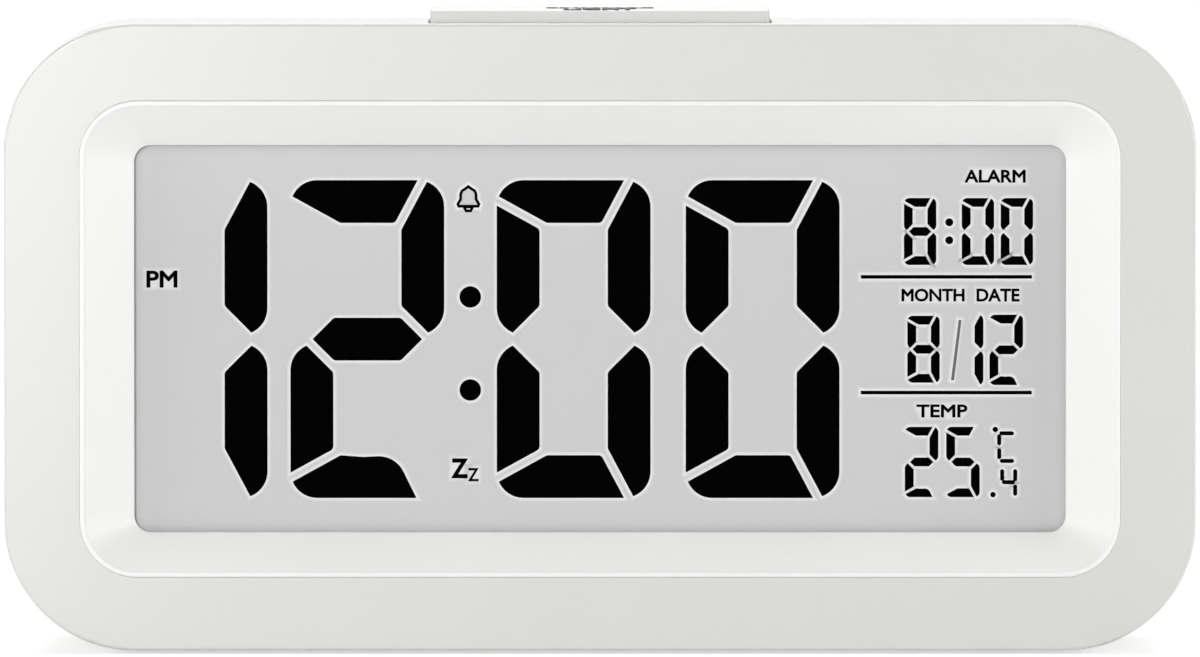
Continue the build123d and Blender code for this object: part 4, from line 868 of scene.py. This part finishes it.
@dataclass(frozen=True)
class PhotoScale:
    """Turns pixels of the photograph into places on the display.

    Attributes:
        per_metre: pixels per metre at the display.
        middle: the display's middle in pixels.
        height: height of the display's middle in metres.
    """

    per_metre: float
    middle: Point
    height: float

    def point(self, x: float, y: float) -> Point:
        """Returns a pixel's place across and up, in metres."""
        return (x - self.middle[0]) / self.per_metre, self.height - (y - self.middle[1]) / self.per_metre

    def area(self, x0: float, x1: float, y0: float, y1: float) -> Area:
        """Returns the middle and the size of a box of pixels, in metres."""
        size = (x1 - x0) / self.per_metre, (y1 - y0) / self.per_metre
        return self.point((x0 + x1) / 2, (y0 + y1) / 2), size


@dataclass(frozen=True)
class Word:
    """A word fitted into a box on a surface.

    Attributes:
        text: the letters.
        middle: the box's middle in metres, in the surface's own right and up.
        size: its width and height.
        weight: how far the letters' outlines swell, as a share of their height.
        thickness: how thick the letters stand, in metres.
        cuts: how many level cuts divide the letters, so that they can follow a round surface.
    """

    text: str
    middle: Point
    size: Point
    weight: float
    thickness: float
    cuts: int = 0
    CURVE_STEPS = 4
    FONT_WELD = 1e-5

    def mesh(self, wrap: Wrap) -> Mesh:
        """Builds the letters.

        Args:
            wrap: maps right, up and out on to the surface.

        Returns:
            The letters as one mesh.
        """
        work = self._flat()
        for part in bmesh.ops.extrude_face_region(work, geom=work.faces[:])["geom"]:
            if isinstance(part, BMVert):
                part.co.z = self.thickness
        for vertex in work.verts:
            vertex.co = wrap(vertex.co)
        return closed(work)

    def hull(self) -> list[Point]:
        """Returns the convex outline of the whole word."""
        work = self._flat()
        outline = hull([(vertex.co.x, vertex.co.y) for vertex in work.verts])
        work.free()
        return outline

    def _flat(self) -> BMesh:
        """Returns the swollen letters as flat faces that fill the box."""
        curve = bpy.data.curves.new("lettering", "FONT")
        curve.body = self.text
        curve.resolution_u = self.CURVE_STEPS
        holder = in_scene("lettering", curve)
        mesh = evaluated(holder)
        work = opened([mesh], self.FONT_WELD)
        bpy.data.objects.remove(holder)
        bpy.data.curves.remove(curve)
        bpy.data.meshes.remove(mesh)
        swell = self.weight * self.size[1]
        corner = np.array(self.middle) - np.array(self.size) / 2
        places = np.array([vertex.co[:2] for vertex in work.verts])
        start = places.min(0)
        share = (np.array(self.size) - 2 * swell) / (places.max(0) - start)
        for vertex, place in zip(work.verts, corner + swell + (places - start) * share):
            vertex.co = (*place, 0.0)
        self._swell(work, swell)
        for i in range(self.cuts):
            level = corner[1] + self.size[1] * (i + 1) / (self.cuts + 1)
            everything = [*work.verts, *work.edges, *work.faces]
            bmesh.ops.bisect_plane(work, geom=everything, plane_co=(0.0, level, 0.0), plane_no=(0.0, 1.0, 0.0))
        return work

    @staticmethod
    def _swell(work: BMesh, reach: float) -> None:
        """Moves the rims of flat faces outwards.

        Args:
            work: the faces.
            reach: how far each rim edge moves.
        """
        moves = {}
        for vertex in work.verts:
            outward = []
            for edge in vertex.link_edges:
                if edge.is_boundary:
                    along = (edge.verts[1].co - edge.verts[0].co).normalized()
                    out = Vector((along.y, -along.x, 0.0))
                    inside = edge.link_faces[0].calc_center_median() - edge.verts[0].co
                    outward.append(-out if out.dot(inside) > 0 else out)
            if len(outward) == 2 and (outward[0] + outward[1]).length > OPPOSED:
                lean = (outward[0] + outward[1]).normalized()
                moves[vertex] = lean * (reach / max(lean.dot(outward[0]), BLUNTEST))
        for vertex, move in moves.items():
            vertex.co += move


def lettering(words: Iterable[Word], wrap: Wrap) -> Mesh:
    """Returns words on one surface as one mesh."""
    return merged([word.mesh(wrap) for word in words])


@dataclass(frozen=True)
class Fringe:
    """Pale fringe round the dark figures of the display, a thin closed ring round each.

    Attributes:
        width: how far it reaches from a figure, in metres.
        y: the film's front along Y in metres.
        thickness: how thick the rings are.
        step: how much thicker each next ring is, so that none share a plane.
        tuck: how far the rings reach under their figures.
        least: least length of a ring's side.
        letter_level: how strong the fringe is behind letters, where 1 is as strong as round figures.
    """

    ATTRIBUTE = "fringe"
    width: float
    y: float
    thickness: float = 0.000008
    step: float = 1e-7
    tuck: float = 0.00004
    least: float = 0.00003
    letter_level: float = 0.55

    def round_outlines(self, outlines: Sequence[Sequence[Point]], filled: Sequence[Sequence[Point]]) -> Mesh:
        """Builds a ring round each outline.

        Args:
            outlines: closed outlines of figures, in metres.
            filled: outlines of letters, whose fringe also lies behind the whole letter.

        Returns:
            The rings as one mesh, with the fringe value on its points.
        """
        points: list[Triple] = []
        faces: list[tuple[int, ...]] = []
        values: list[float] = []
        for index, outline in enumerate([*outlines, *filled]):
            corners = thinned(outline if runs_left(outline) else outline[::-1], self.least)
            rings = grown(corners, -self.tuck) + grown(corners, self.width)
            first, count = len(points), len(corners)
            up = 2 * count
            whole = index >= len(outlines)
            for level in (self.y, self.y - self.thickness - self.step * index):
                points += [(x, level, z) for x, z in rings]
                values += [self.letter_level if whole else 1.0] * count + [0.0] * count
            for i in range(count):
                j = (i + 1) % count
                a, b, c, d = (first + i, first + j, first + count + j, first + count + i)
                faces += [(a, b, c, d), (a + up, d + up, c + up, b + up), (d, c, c + up, d + up)]
                if not whole:
                    faces.append((b, a, a + up, b + up))
            if whole:
                back = tuple(range(first, first + count))
                faces += [back[::-1], tuple(one + up for one in back)]
        mesh = bpy.data.meshes.new("fringe")
        mesh.from_pydata(points, [], faces)
        mesh.attributes.new(self.ATTRIBUTE, "FLOAT", "POINT").data.foreach_set("value", values)
        return mesh


@dataclass(frozen=True)
class CrossHeads:
    """Screws of one CAD node with a tapered cross recess cut into each head.

    Attributes:
        node: the screws' node.
        out: the direction that the heads face.
        arm: half the recess's length, in metres.
        half_width: half the width of its arms.
        depth: its depth.
        taper: the recess's size at its floor, as a share of that at the head.
        mouth: how far the cut starts above the head, and its size there.
    """

    node: str
    out: Triple = (0.0, 1.0, 0.0)
    arm: float = 0.00125
    half_width: float = 0.00032
    depth: float = 0.0009
    taper: float = 0.45
    mouth: Point = (0.0001, 1.05)
    FLATNESS = 1e-6

    def build(self) -> None:
        """Cuts the recesses and puts the screws in the node's place."""
        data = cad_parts[self.node].data.copy()
        recesses = merged([self._recess(middle) for middle in self._heads(data)])
        screws, cutter = in_scene(self.node + "_work", data), in_scene(self.node + "_cutter", recesses)
        cut = screws.modifiers.new("recess", "BOOLEAN")
        cut.operation, cut.solver, cut.object = "DIFFERENCE", "EXACT", cutter
        mesh = evaluated(screws)
        for thing in (screws, cutter):
            bpy.data.objects.remove(thing)
        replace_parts(add_piece(self.node + "_cross_head", mesh, STEEL, "housing"), self.node)

    def _heads(self, mesh: Mesh) -> list[Vector]:
        """Finds the screws' heads.

        Args:
            mesh: the screws' mesh.

        Returns:
            The middle of each head's outer face.
        """
        out = Vector(self.out)
        work = opened([mesh])
        left = set(work.verts)
        heads = []
        while left:
            reached, waiting = [], [left.pop()]
            while waiting:
                vertex = waiting.pop()
                reached.append(vertex.co.copy())
                near = {edge.other_vert(vertex) for edge in vertex.link_edges} & left
                left -= near
                waiting += near
            top = max(place.dot(out) for place in reached)
            face = sorted((place for place in reached if place.dot(out) > top - self.FLATNESS), key=tuple)
            heads.append(sum(face, Vector()) / len(face))
        work.free()
        return sorted(heads, key=tuple)

    def _recess(self, middle: Vector) -> Mesh:
        """Builds the solid that one recess removes.

        Args:
            middle: the middle of the head's outer face.

        Returns:
            The solid's mesh.
        """
        out = Vector(self.out)
        right = out.orthogonal().normalized()
        up = out.cross(right)
        quarter = ((self.half_width, self.half_width), (self.arm, self.half_width), (self.arm, -self.half_width))
        corners = []
        for cosine, sine in ((1, 0), (0, 1), (-1, 0), (0, -1)):
            corners += [(x * cosine + y * sine, y * cosine - x * sine) for x, y in quarter]
        return prism(*([middle + (right * x + up * y) * share + out * level for x, y in corners]
                       for level, share in ((-self.depth, self.taper), self.mouth)))


class SubAssembly(ABC):
    """A sub-assembly of the clock, with a table of the nodes that need a finish alone."""

    finishes: ClassVar[dict[Finish, tuple[str, ...]]]

    def build(self) -> None:
        """Dresses the nodes of the table, then adds the pieces."""
        for finish, nodes in self.finishes.items():
            dress(finish, *nodes)
        self.shape()

    @abstractmethod
    def shape(self) -> None:
        """Adds the pieces that have a shape of their own."""


class Housing(SubAssembly):
    """The two shells, the sloped frame, the feet and the screws in the back."""

    # The sloped frame's lighter white is painted light.
    finishes = {WHITE_ABS: ("front_shell", "rear_shell"), LIGHTENED_FRAME_ABS: ("bezel_insert",),
                RUBBER: ("front_feet", "rear_feet")}

    def shape(self) -> None:
        """Cuts the recesses of the housing's screws."""
        CrossHeads("housing_screws").build()


@dataclass(frozen=True)
class Display(SubAssembly):
    """The liquid crystal display: film, figures, labels, signs and the pale fringe round them.

    Attributes:
        scale: turns pixels into places on the display.
        half: half the window's width and height in metres.
        rim_width: width of the film's rim of painted shade.
        bell_stroke: width of the bell's line.
        label_weight: how far the labels' letters swell, as a share of their height.
        slash_lift: how far the slash stands above the figures.
        fringe_width: how far the pale fringe reaches.
    """

    finishes = {
        GLASS: ("lcd_front_glass", "lcd_rear_glass"), ACRYLIC: ("light_guide",), FILM: ("reflector_film",),
        LIGHTENED_FOAM: ("lcd_gasket",), ELASTOMER: ("zebra_strip",), LED_RESIN: ("backlight_leds",),
        HOLDER_ABS: ("lcd_holder",),
    }
    # Words and signs by their pixels in the photograph: left, right, top and bottom, or corner by corner.
    LABELS = {
        "PM": (146, 177, 270, 287), "ALARM": (964, 1025, 169, 182), "MONTH": (901, 964, 288, 301),
        "DATE": (976, 1019, 288, 301), "TEMP": (916, 967, 404, 417),
    }
    SLEEP = (((451, 467, 458, 478), 0.05), ((467.6, 478, 467.6, 481), 0.035))
    BELL = (
        (465.6, 187.6), (467.9, 185.9), (470.2, 187.6), (474.2, 190.2), (475.6, 193.6), (475.6, 198.6),
        (478.4, 203.4), (477.6, 205.6), (458.2, 205.6), (457.4, 203.4), (460.2, 198.6), (460.2, 193.6),
        (461.6, 190.2),
    )
    CLAPPER = ((463.6, 206.4), (472.2, 206.4), (470.2, 210.2), (465.6, 210.2))
    SLASH = ((951.0, 379.8), (953.5, 379.8), (960.9, 319.5), (958.4, 319.5))
    SLASH_AREA = (948, 962, 317, 382)
    # Highest Y of the normal of a face that looks forward.
    FACING = -0.9
    # The rim's colour is painted shade, darker than the film towards the window's edge.
    FILM_COLOUR, RIM_COLOUR, FRINGE_COLOUR = grey(0.603), grey(0.51), grey(0.95)

    scale: PhotoScale
    half: Point = (0.052825, 0.02197)
    rim_width: float = 0.0014
    bell_stroke: float = 0.00032
    label_weight: float = 0.04
    slash_lift: float = 0.000002
    fringe_width: float = 0.00045

    @property
    def film_y(self) -> float:
        """Returns the film's front along Y in metres."""
        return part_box("front_polarizer")[0].y

    @property
    def thickness(self) -> float:
        """Returns how thick the figures stand on the film."""
        return self.film_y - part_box("lcd_segments")[0].y

    def shape(self) -> None:
        """Dresses film and figures, and adds labels, signs and fringe."""
        film = DisplayFilm("display_film", self.FILM_COLOUR, self.RIM_COLOUR, self.half,
                           self.scale.height, self.rim_width)
        dress(film, "front_polarizer", "rear_polarizer")
        dress(replace(LCD_BLACK, name="lcd_figures", faint=self.scale.area(*self.SLASH_AREA)), "lcd_segments")
        wrap = Side.FRONT.wrap(self.film_y)
        words = self._words()
        slash = plate(self._corners(self.SLASH), wrap, self.thickness + self.slash_lift)
        for name, mesh, ink in (("display_labels", lettering(words, wrap), LCD_BLACK),
                                ("bell_sign", self._bell(wrap), LCD_BLACK), ("date_slash", slash, LCD_FAINT)):
            add_piece(name, mesh, ink, "housing")
        bell = grown(self._corners(self.BELL), self.bell_stroke / 2)
        fringe = Fringe(self.fringe_width, self.film_y)
        mesh = fringe.round_outlines([*self._figure_outlines(), bell], [word.hull() for word in words])
        pale = LightRim("figure_fringe", self.FILM_COLOUR, self.FRINGE_COLOUR)
        add_piece("figure_fringe", mesh, pale, "housing")

    def _corners(self, pixels: Sequence[Point]) -> list[Point]:
        """Returns the places of pixels on the display."""
        return [self.scale.point(*pixel) for pixel in pixels]

    def _words(self) -> list[Word]:
        """Returns the words and sleep letters at their places."""
        signs = [(text, box, self.label_weight) for text, box in self.LABELS.items()]
        signs += [("Z", box, weight) for box, weight in self.SLEEP]
        return [Word(text, *self.scale.area(*box), weight, self.thickness) for text, box, weight in signs]

    def _bell(self, wrap: Wrap) -> Mesh:
        """Draws the alarm's bell in outline.

        Args:
            wrap: maps right, up and out on to the film.

        Returns:
            The bell's mesh.
        """
        strokes = []
        for outline in (self.BELL, self.CLAPPER):
            inner, outer = (grown(self._corners(outline), way * self.bell_stroke / 2) for way in (-1, 1))
            for i in range(len(outline)):
                j = (i + 1) % len(outline)
                strokes.append(plate((inner[i], inner[j], outer[j], outer[i]), wrap, self.thickness))
        return merged(strokes)

    def _figure_outlines(self) -> list[list[Point]]:
        """Returns the outline of each figure's front, read from the CAD node."""
        work = opened([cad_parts["lcd_segments"].data])
        behind = [face for face in work.faces if face.normal.y > self.FACING]
        bmesh.ops.delete(work, geom=behind, context="FACES")
        outlines = []
        left = dict.fromkeys(edge for edge in work.edges if edge.is_boundary)
        while left:
            edge, _ = left.popitem()
            start, at = edge.verts
            loop = [start]
            while at is not start:
                loop.append(at)
                edge = next(one for one in at.link_edges if one in left)
                del left[edge]
                at = edge.other_vert(at)
            outlines.append([(vertex.co.x, vertex.co.z) for vertex in loop])
        work.free()
        return sorted(outlines)


@dataclass(frozen=True)
class SnoozeBar(SubAssembly):
    """The bar on top with its printed words.

    Attributes:
        lines: each line's word, size, place from the crown's ridge, and relief, in metres.
        weight: how far the letters swell, as a share of their height.
        crown_half: half the depth of the bar's crowned top.
        crown_rise: how much higher its ridge is than its rims.
        sink: how deep the letters' backs lie under the ridge.
    """

    finishes = {BUTTON_ABS: ("snooze_button",), BLACK_PLASTIC: ("snooze_switch", "snooze_plunger"),
                BOARD: ("snooze_board",)}
    lines: tuple[tuple[str, Point, float, float], ...] = (
        ("SNOOZE", (0.0122, 0.0023), -0.00315, 0.00005), ("LIGHT", (0.0082, 0.0021), -0.00565, 0.00012),
    )
    weight: float = 0.06
    crown_half: float = 0.0075
    crown_rise: float = 0.0003
    sink: float = 0.000029

    def shape(self) -> None:
        """Cuts the board's screws and prints the bar's words."""
        CrossHeads("snooze_board_screws", out=(0.0, 0.0, -1.0)).build()
        words = [Word(text, (0.0, place), size, self.weight, relief) for text, size, place, relief in self.lines]
        add_piece("snooze_words", lettering(words, self._crown()), PRINT_BLACK, "snooze_bar")

    def _crown(self) -> Wrap:
        """Wraps print on to the bar's crowned top.

        Returns:
            The mapping of right, up and out on to it.
        """
        middle = middle_of("snooze_button").y
        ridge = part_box("snooze_button")[1].z - self.sink

        def wrap(point: Vector) -> Vector:
            """Maps one point."""
            top = ridge - self.crown_rise * (point.y / self.crown_half) ** 2
            return Vector((point.x, middle + point.y, top + point.z))

        return wrap


@dataclass(frozen=True)
class BackControls(SubAssembly):
    """Keys and alarm switch in the back, with the print beside them.

    Attributes:
        word_height: height of a word in metres.
        letter_width: width of a letter, as a share of its height.
        weight: how far the letters swell, as a share of their height.
        relief: how thick the print is.
        sink: how deep its back lies in the wall.
        rise: how far above a control's middle its word starts.
        reach: how far beside the switch the words for its two places stand.
        travel: how far the switch slides.
    """

    KEYS = {"mode_key": "MODE", "set_key": "SET", "up_key": "UP", "down_key": "DOWN"}
    finishes = {
        BUTTON_ABS: (*KEYS, "alarm_switch_knob"), STEEL: ("alarm_switch_body",), BOARD: ("key_board",),
        BLACK_PLASTIC: (*(key + "_plunger" for key in KEYS), "key_switches"),
    }
    word_height: float = 0.0016
    letter_width: float = 0.86
    weight: float = 0.01
    relief: float = 0.00003
    sink: float = 0.00001
    rise: float = 0.0042
    reach: float = 0.0052
    travel: float = 0.002

    def shape(self) -> None:
        """Cuts the board's screws and prints the words."""
        CrossHeads("key_board_screws", out=(0.0, -1.0, 0.0)).build()
        above = self.rise + self.word_height / 2
        words = [self._word(text, middle_of(node), 0.0, above) for node, text in self.KEYS.items()]
        switch = middle_of("alarm_switch_knob") + Vector((self.travel / 2, 0.0, 0.0))
        for text, right, up in (("ALARM", 0.0, above), ("ON", -self.reach, 0.0), ("OFF", self.reach, 0.0)):
            words.append(self._word(text, switch, right, up))
        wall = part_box("rear_shell")[1].y - self.sink
        add_piece("key_words", lettering(words, Side.BACK.wrap(wall)), PRINT_GREY, "housing")

    def _word(self, text: str, control: Vector, right: float, up: float) -> Word:
        """Returns a control's word, right and up from its middle as seen from behind."""
        size = (self.letter_width * self.word_height * len(text), self.word_height)
        return Word(text, (right - control.x, control.z + up), size, self.weight, self.relief)


@dataclass(frozen=True)
class BatteryBay(SubAssembly):
    """Battery door, cells, contacts and leads.

    Attributes:
        door_words: each line printed on the door: its word, size and drop from the door's top, in metres.
        arrow: the printed arrow's corners, across and down from the door's top.
        door_weight: how far the door's letters swell, as a share of their height.
        latch_inset: how far the door's face stands out from the latch.
        cell_words: each word on a cell: its text, place along the cell, width and height.
        poles: the same for the signs of its poles, where the positive end points along +X.
        cell_weight: how far the cell's letters swell.
        cell_cuts: how many cuts let them follow the jacket.
        relief: how thick the print is.
        sink: how deep its back lies in the jacket.
    """

    CELLS = {"lower_cell": 1, "middle_cell": -1, "upper_cell": 1}
    finishes = {
        WHITE_ABS: ("battery_door", "battery_door_latch"), RED_WIRE: ("battery_lead_red",),
        BLACK_WIRE: ("battery_lead_black",),
        SPRING_STEEL: ("battery_springs", "positive_contact", "negative_contact", "bridge_contact_left",
                       "bridge_contact_right"),
    }
    door_words: tuple[tuple[str, Point, float], ...] = (
        ("OPEN", (0.0076, 0.002), 0.0142), ("3 x 1.5V AAA", (0.0165, 0.0017), 0.026),
    )
    arrow: tuple[Point, ...] = (
        (-0.0006, 0.0155), (0.0006, 0.0155), (0.0006, 0.0172), (0.0017, 0.0172), (0.0, 0.0194),
        (-0.0017, 0.0172), (-0.0006, 0.0172),
    )
    door_weight: float = 0.015
    latch_inset: float = 0.0002
    cell_words: tuple[tuple[str, float, Point], ...] = (
        ("AAA", -0.004, (0.0062, 0.0024)), ("1.5V", 0.006, (0.0072, 0.0024)),
    )
    poles: tuple[tuple[str, float, Point], ...] = (
        ("+", -0.0165, (0.0024, 0.0024)), ("-", 0.0175, (0.002, 0.0006)),
    )
    cell_weight: float = 0.02
    cell_cuts: int = 7
    relief: float = 0.00003
    sink: float = 0.00001

    def shape(self) -> None:
        """Dresses and prints the cells, and marks the door."""
        for name, way in self.CELLS.items():
            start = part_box(name)[0 if way > 0 else 1].x
            dress(CellJacket(name + "_jacket", start, way), name)
            signs = [*self.cell_words, *((text, along * way, size) for text, along, size in self.poles)]
            words = [Word(text, (along, 0.0), size, self.cell_weight, self.relief, self.cell_cuts)
                     for text, along, size in signs]
            add_piece(name + "_print", lettering(words, self._jacket(name)), PRINT_WHITE, "housing")
        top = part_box("battery_door")[1].z
        wrap = Side.BACK.wrap(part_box("battery_door_latch")[1].y + self.latch_inset)
        marks = [plate([(x, top - drop) for x, drop in self.arrow], wrap, self.relief)]
        marks += [Word(text, (0.0, top - drop), size, self.door_weight, self.relief).mesh(wrap)
                  for text, size, drop in self.door_words]
        add_piece("door_marks", merged(marks), PRINT_GREY, "battery_cover")

    def _jacket(self, cell: str) -> Wrap:
        """Wraps print round a cell.

        Args:
            cell: the cell's node.

        Returns:
            The mapping of right, up and out on to its jacket.
        """
        low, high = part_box(cell)
        radius = (high.z - low.z) / 2
        middle = (low + high) / 2

        def wrap(point: Vector) -> Vector:
            """Maps one point, as seen from behind."""
            angle, reach = point.y / radius, radius - self.sink + point.z
            return middle + Vector((-point.x, reach * math.cos(angle), reach * math.sin(angle)))

        return wrap


class InnerWorks(SubAssembly):
    """Main board, speaker, sensor and the wires between them."""

    finishes = {
        BOARD: ("main_board",), BLACK_PLASTIC: ("chip_cover", "capacitor"), STEEL: ("crystal",),
        SPEAKER_PLASTIC: ("speaker",), BLACK_WIRE: ("temperature_sensor",), RED_WIRE: ("speaker_leads",),
        RIBBON: ("snooze_ribbon", "key_ribbon"),
    }

    def shape(self) -> None:
        """Cuts the recesses of the display's screws."""
        CrossHeads("display_screws").build()


def add_aimed(name: str, data: ID, place: Vector, target: Vector) -> Object:
    """Adds a lamp or a camera that points at a target.

    Args:
        name: its name.
        data: the lamp's or the camera's own data.
        place: where it stands.
        target: the point in the middle of its view.

    Returns:
        The lamp or camera.
    """
    made = in_scene(name, data)
    made.location = place
    made.rotation_euler = (target - place).to_track_quat("-Z", "Y").to_euler()
    LOG.info("added %s", name)
    return made


@dataclass(frozen=True)
class SoftBox:
    """A soft rectangular lamp.

    Attributes:
        name: the lamp's name.
        place: where it stands, in metres.
        size: its width and height.
        power: its power in watts.
    """

    name: str
    place: Triple
    size: Point
    power: float

    def build(self, aim: Vector) -> None:
        """Adds the lamp, turned to a point.

        Args:
            aim: the point that it lights.
        """
        data = bpy.data.lights.new(self.name, "AREA")
        data.shape = "RECTANGLE"
        data.size, data.size_y = self.size
        data.energy = self.power
        add_aimed(self.name, data, Vector(self.place), aim).visible_camera = False


@dataclass(frozen=True)
class Studio:
    """Floor, soft light, white surroundings and the camera of the photograph.

    Attributes:
        lamps: the soft lamps.
        floor: the floor's finish.
        floor_half: half the floor's side in metres.
        ambient: strength of the even light from all round.
        distance: from the camera to the clock's face, in metres.
        camera_height: the camera's height above the floor.
        look_rise: how far above the ring's middle the camera looks.
        sensor: the sensor's width in millimetres.
        frame_width: how many pixels wide the photograph is.
        per_metre: the photograph's pixels per metre at the clock's face.
        clip: the nearest and farthest distance that the camera sees, in metres.
    """

    lamps: tuple[SoftBox, ...] = (
        SoftBox("key_lamp", (-0.3, -1.6, 0.12), (0.2, 0.5), 13.8),
        SoftBox("left_lamp", (-0.5, -0.15, 0.1), (0.3, 0.3), 1.08),
        SoftBox("right_lamp", (0.5, -0.15, 0.1), (0.3, 0.3), 1.32),
        SoftBox("top_lamp", (0.0, 0.05, 0.8), (0.8, 0.5), 2.4),
        SoftBox("back_lamp", (0.0, 0.85, 0.75), (1.0, 0.6), 6.5),
    )
    floor: StudioFloor = StudioFloor("studio_floor", grey(0.8), 0.55)
    floor_half: float = 30.0
    ambient: float = 0.12
    distance: float = 2.0
    camera_height: float = 0.1274
    look_rise: float = 0.00102
    sensor: float = 36.0
    frame_width: float = 1200.0
    per_metre: float = 8837.0
    clip: Point = (0.1, 100.0)

    def build(self) -> None:
        """Builds the floor, the world, the lamps and the camera."""
        self._floor()
        self._world()
        middle = middle_of("front_shell")
        face = Vector((middle.x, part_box("front_shell")[0].y, middle.z))
        for lamp in self.lamps:
            lamp.build(face)
        self._camera(Vector((0, face.y, face.z + self.look_rise)))
        bpy.context.scene.view_settings.view_transform = "Standard"

    def _floor(self) -> None:
        """Lays a wide flat floor."""
        mesh = bpy.data.meshes.new("floor")
        corners = ((-1, -1), (1, -1), (1, 1), (-1, 1))
        mesh.from_pydata([(x * self.floor_half, y * self.floor_half, 0) for x, y in corners], [], [(0, 1, 2, 3)])
        mesh.materials.append(self.floor.material())
        in_scene("floor", mesh)

    def _world(self) -> None:
        """Makes the surroundings white to look at and even to light by."""
        world = bpy.data.worlds.new("white_room")
        bpy.context.scene.world = world
        world.use_nodes = True
        graph = Graph(world.node_tree)
        light = world.node_tree.nodes["Background"]
        graph.feed(light, {"Color": WHITE, "Strength": self.ambient})
        seen = graph.add("Background", {"Color": WHITE, "Strength": 1.0})
        rays = graph.add("LightPath").outputs
        looking = graph.math("MAXIMUM", rays["Is Camera Ray"], rays["Is Glossy Ray"])
        looking = graph.math("MAXIMUM", looking, rays["Is Transmission Ray"])
        mix = graph.add("MixShader", {0: looking, 1: light.outputs[0], 2: seen.outputs[0]})
        graph.feed(world.node_tree.nodes["World Output"], {"Surface": mix.outputs[0]})

    def _camera(self, target: Vector) -> None:
        """Adds the camera at the photograph's angle.

        Args:
            target: the point in the middle of the picture.
        """
        place = Vector((target.x, target.y - self.distance, self.camera_height))
        data = bpy.data.cameras.new("photo_camera")
        data.sensor_width = self.sensor
        data.lens = self.sensor * (target - place).length * self.per_metre / self.frame_width
        data.clip_start, data.clip_end = self.clip
        bpy.context.scene.camera = add_aimed("photo_camera", data, place, target)


def main() -> None:
    """Builds the clock's looks piece by piece, then the studio round it."""
    logging.basicConfig(level=logging.INFO, format="%(name)s: %(message)s")
    display = Display(PhotoScale(8813.0, (599.5, 337.7), middle_of("front_polarizer").z))
    for part in (Housing(), display, SnoozeBar(), BackControls(), BatteryBay(), InnerWorks()):
        part.build()
    Studio().build()


if __name__ == "__main__":
    main()
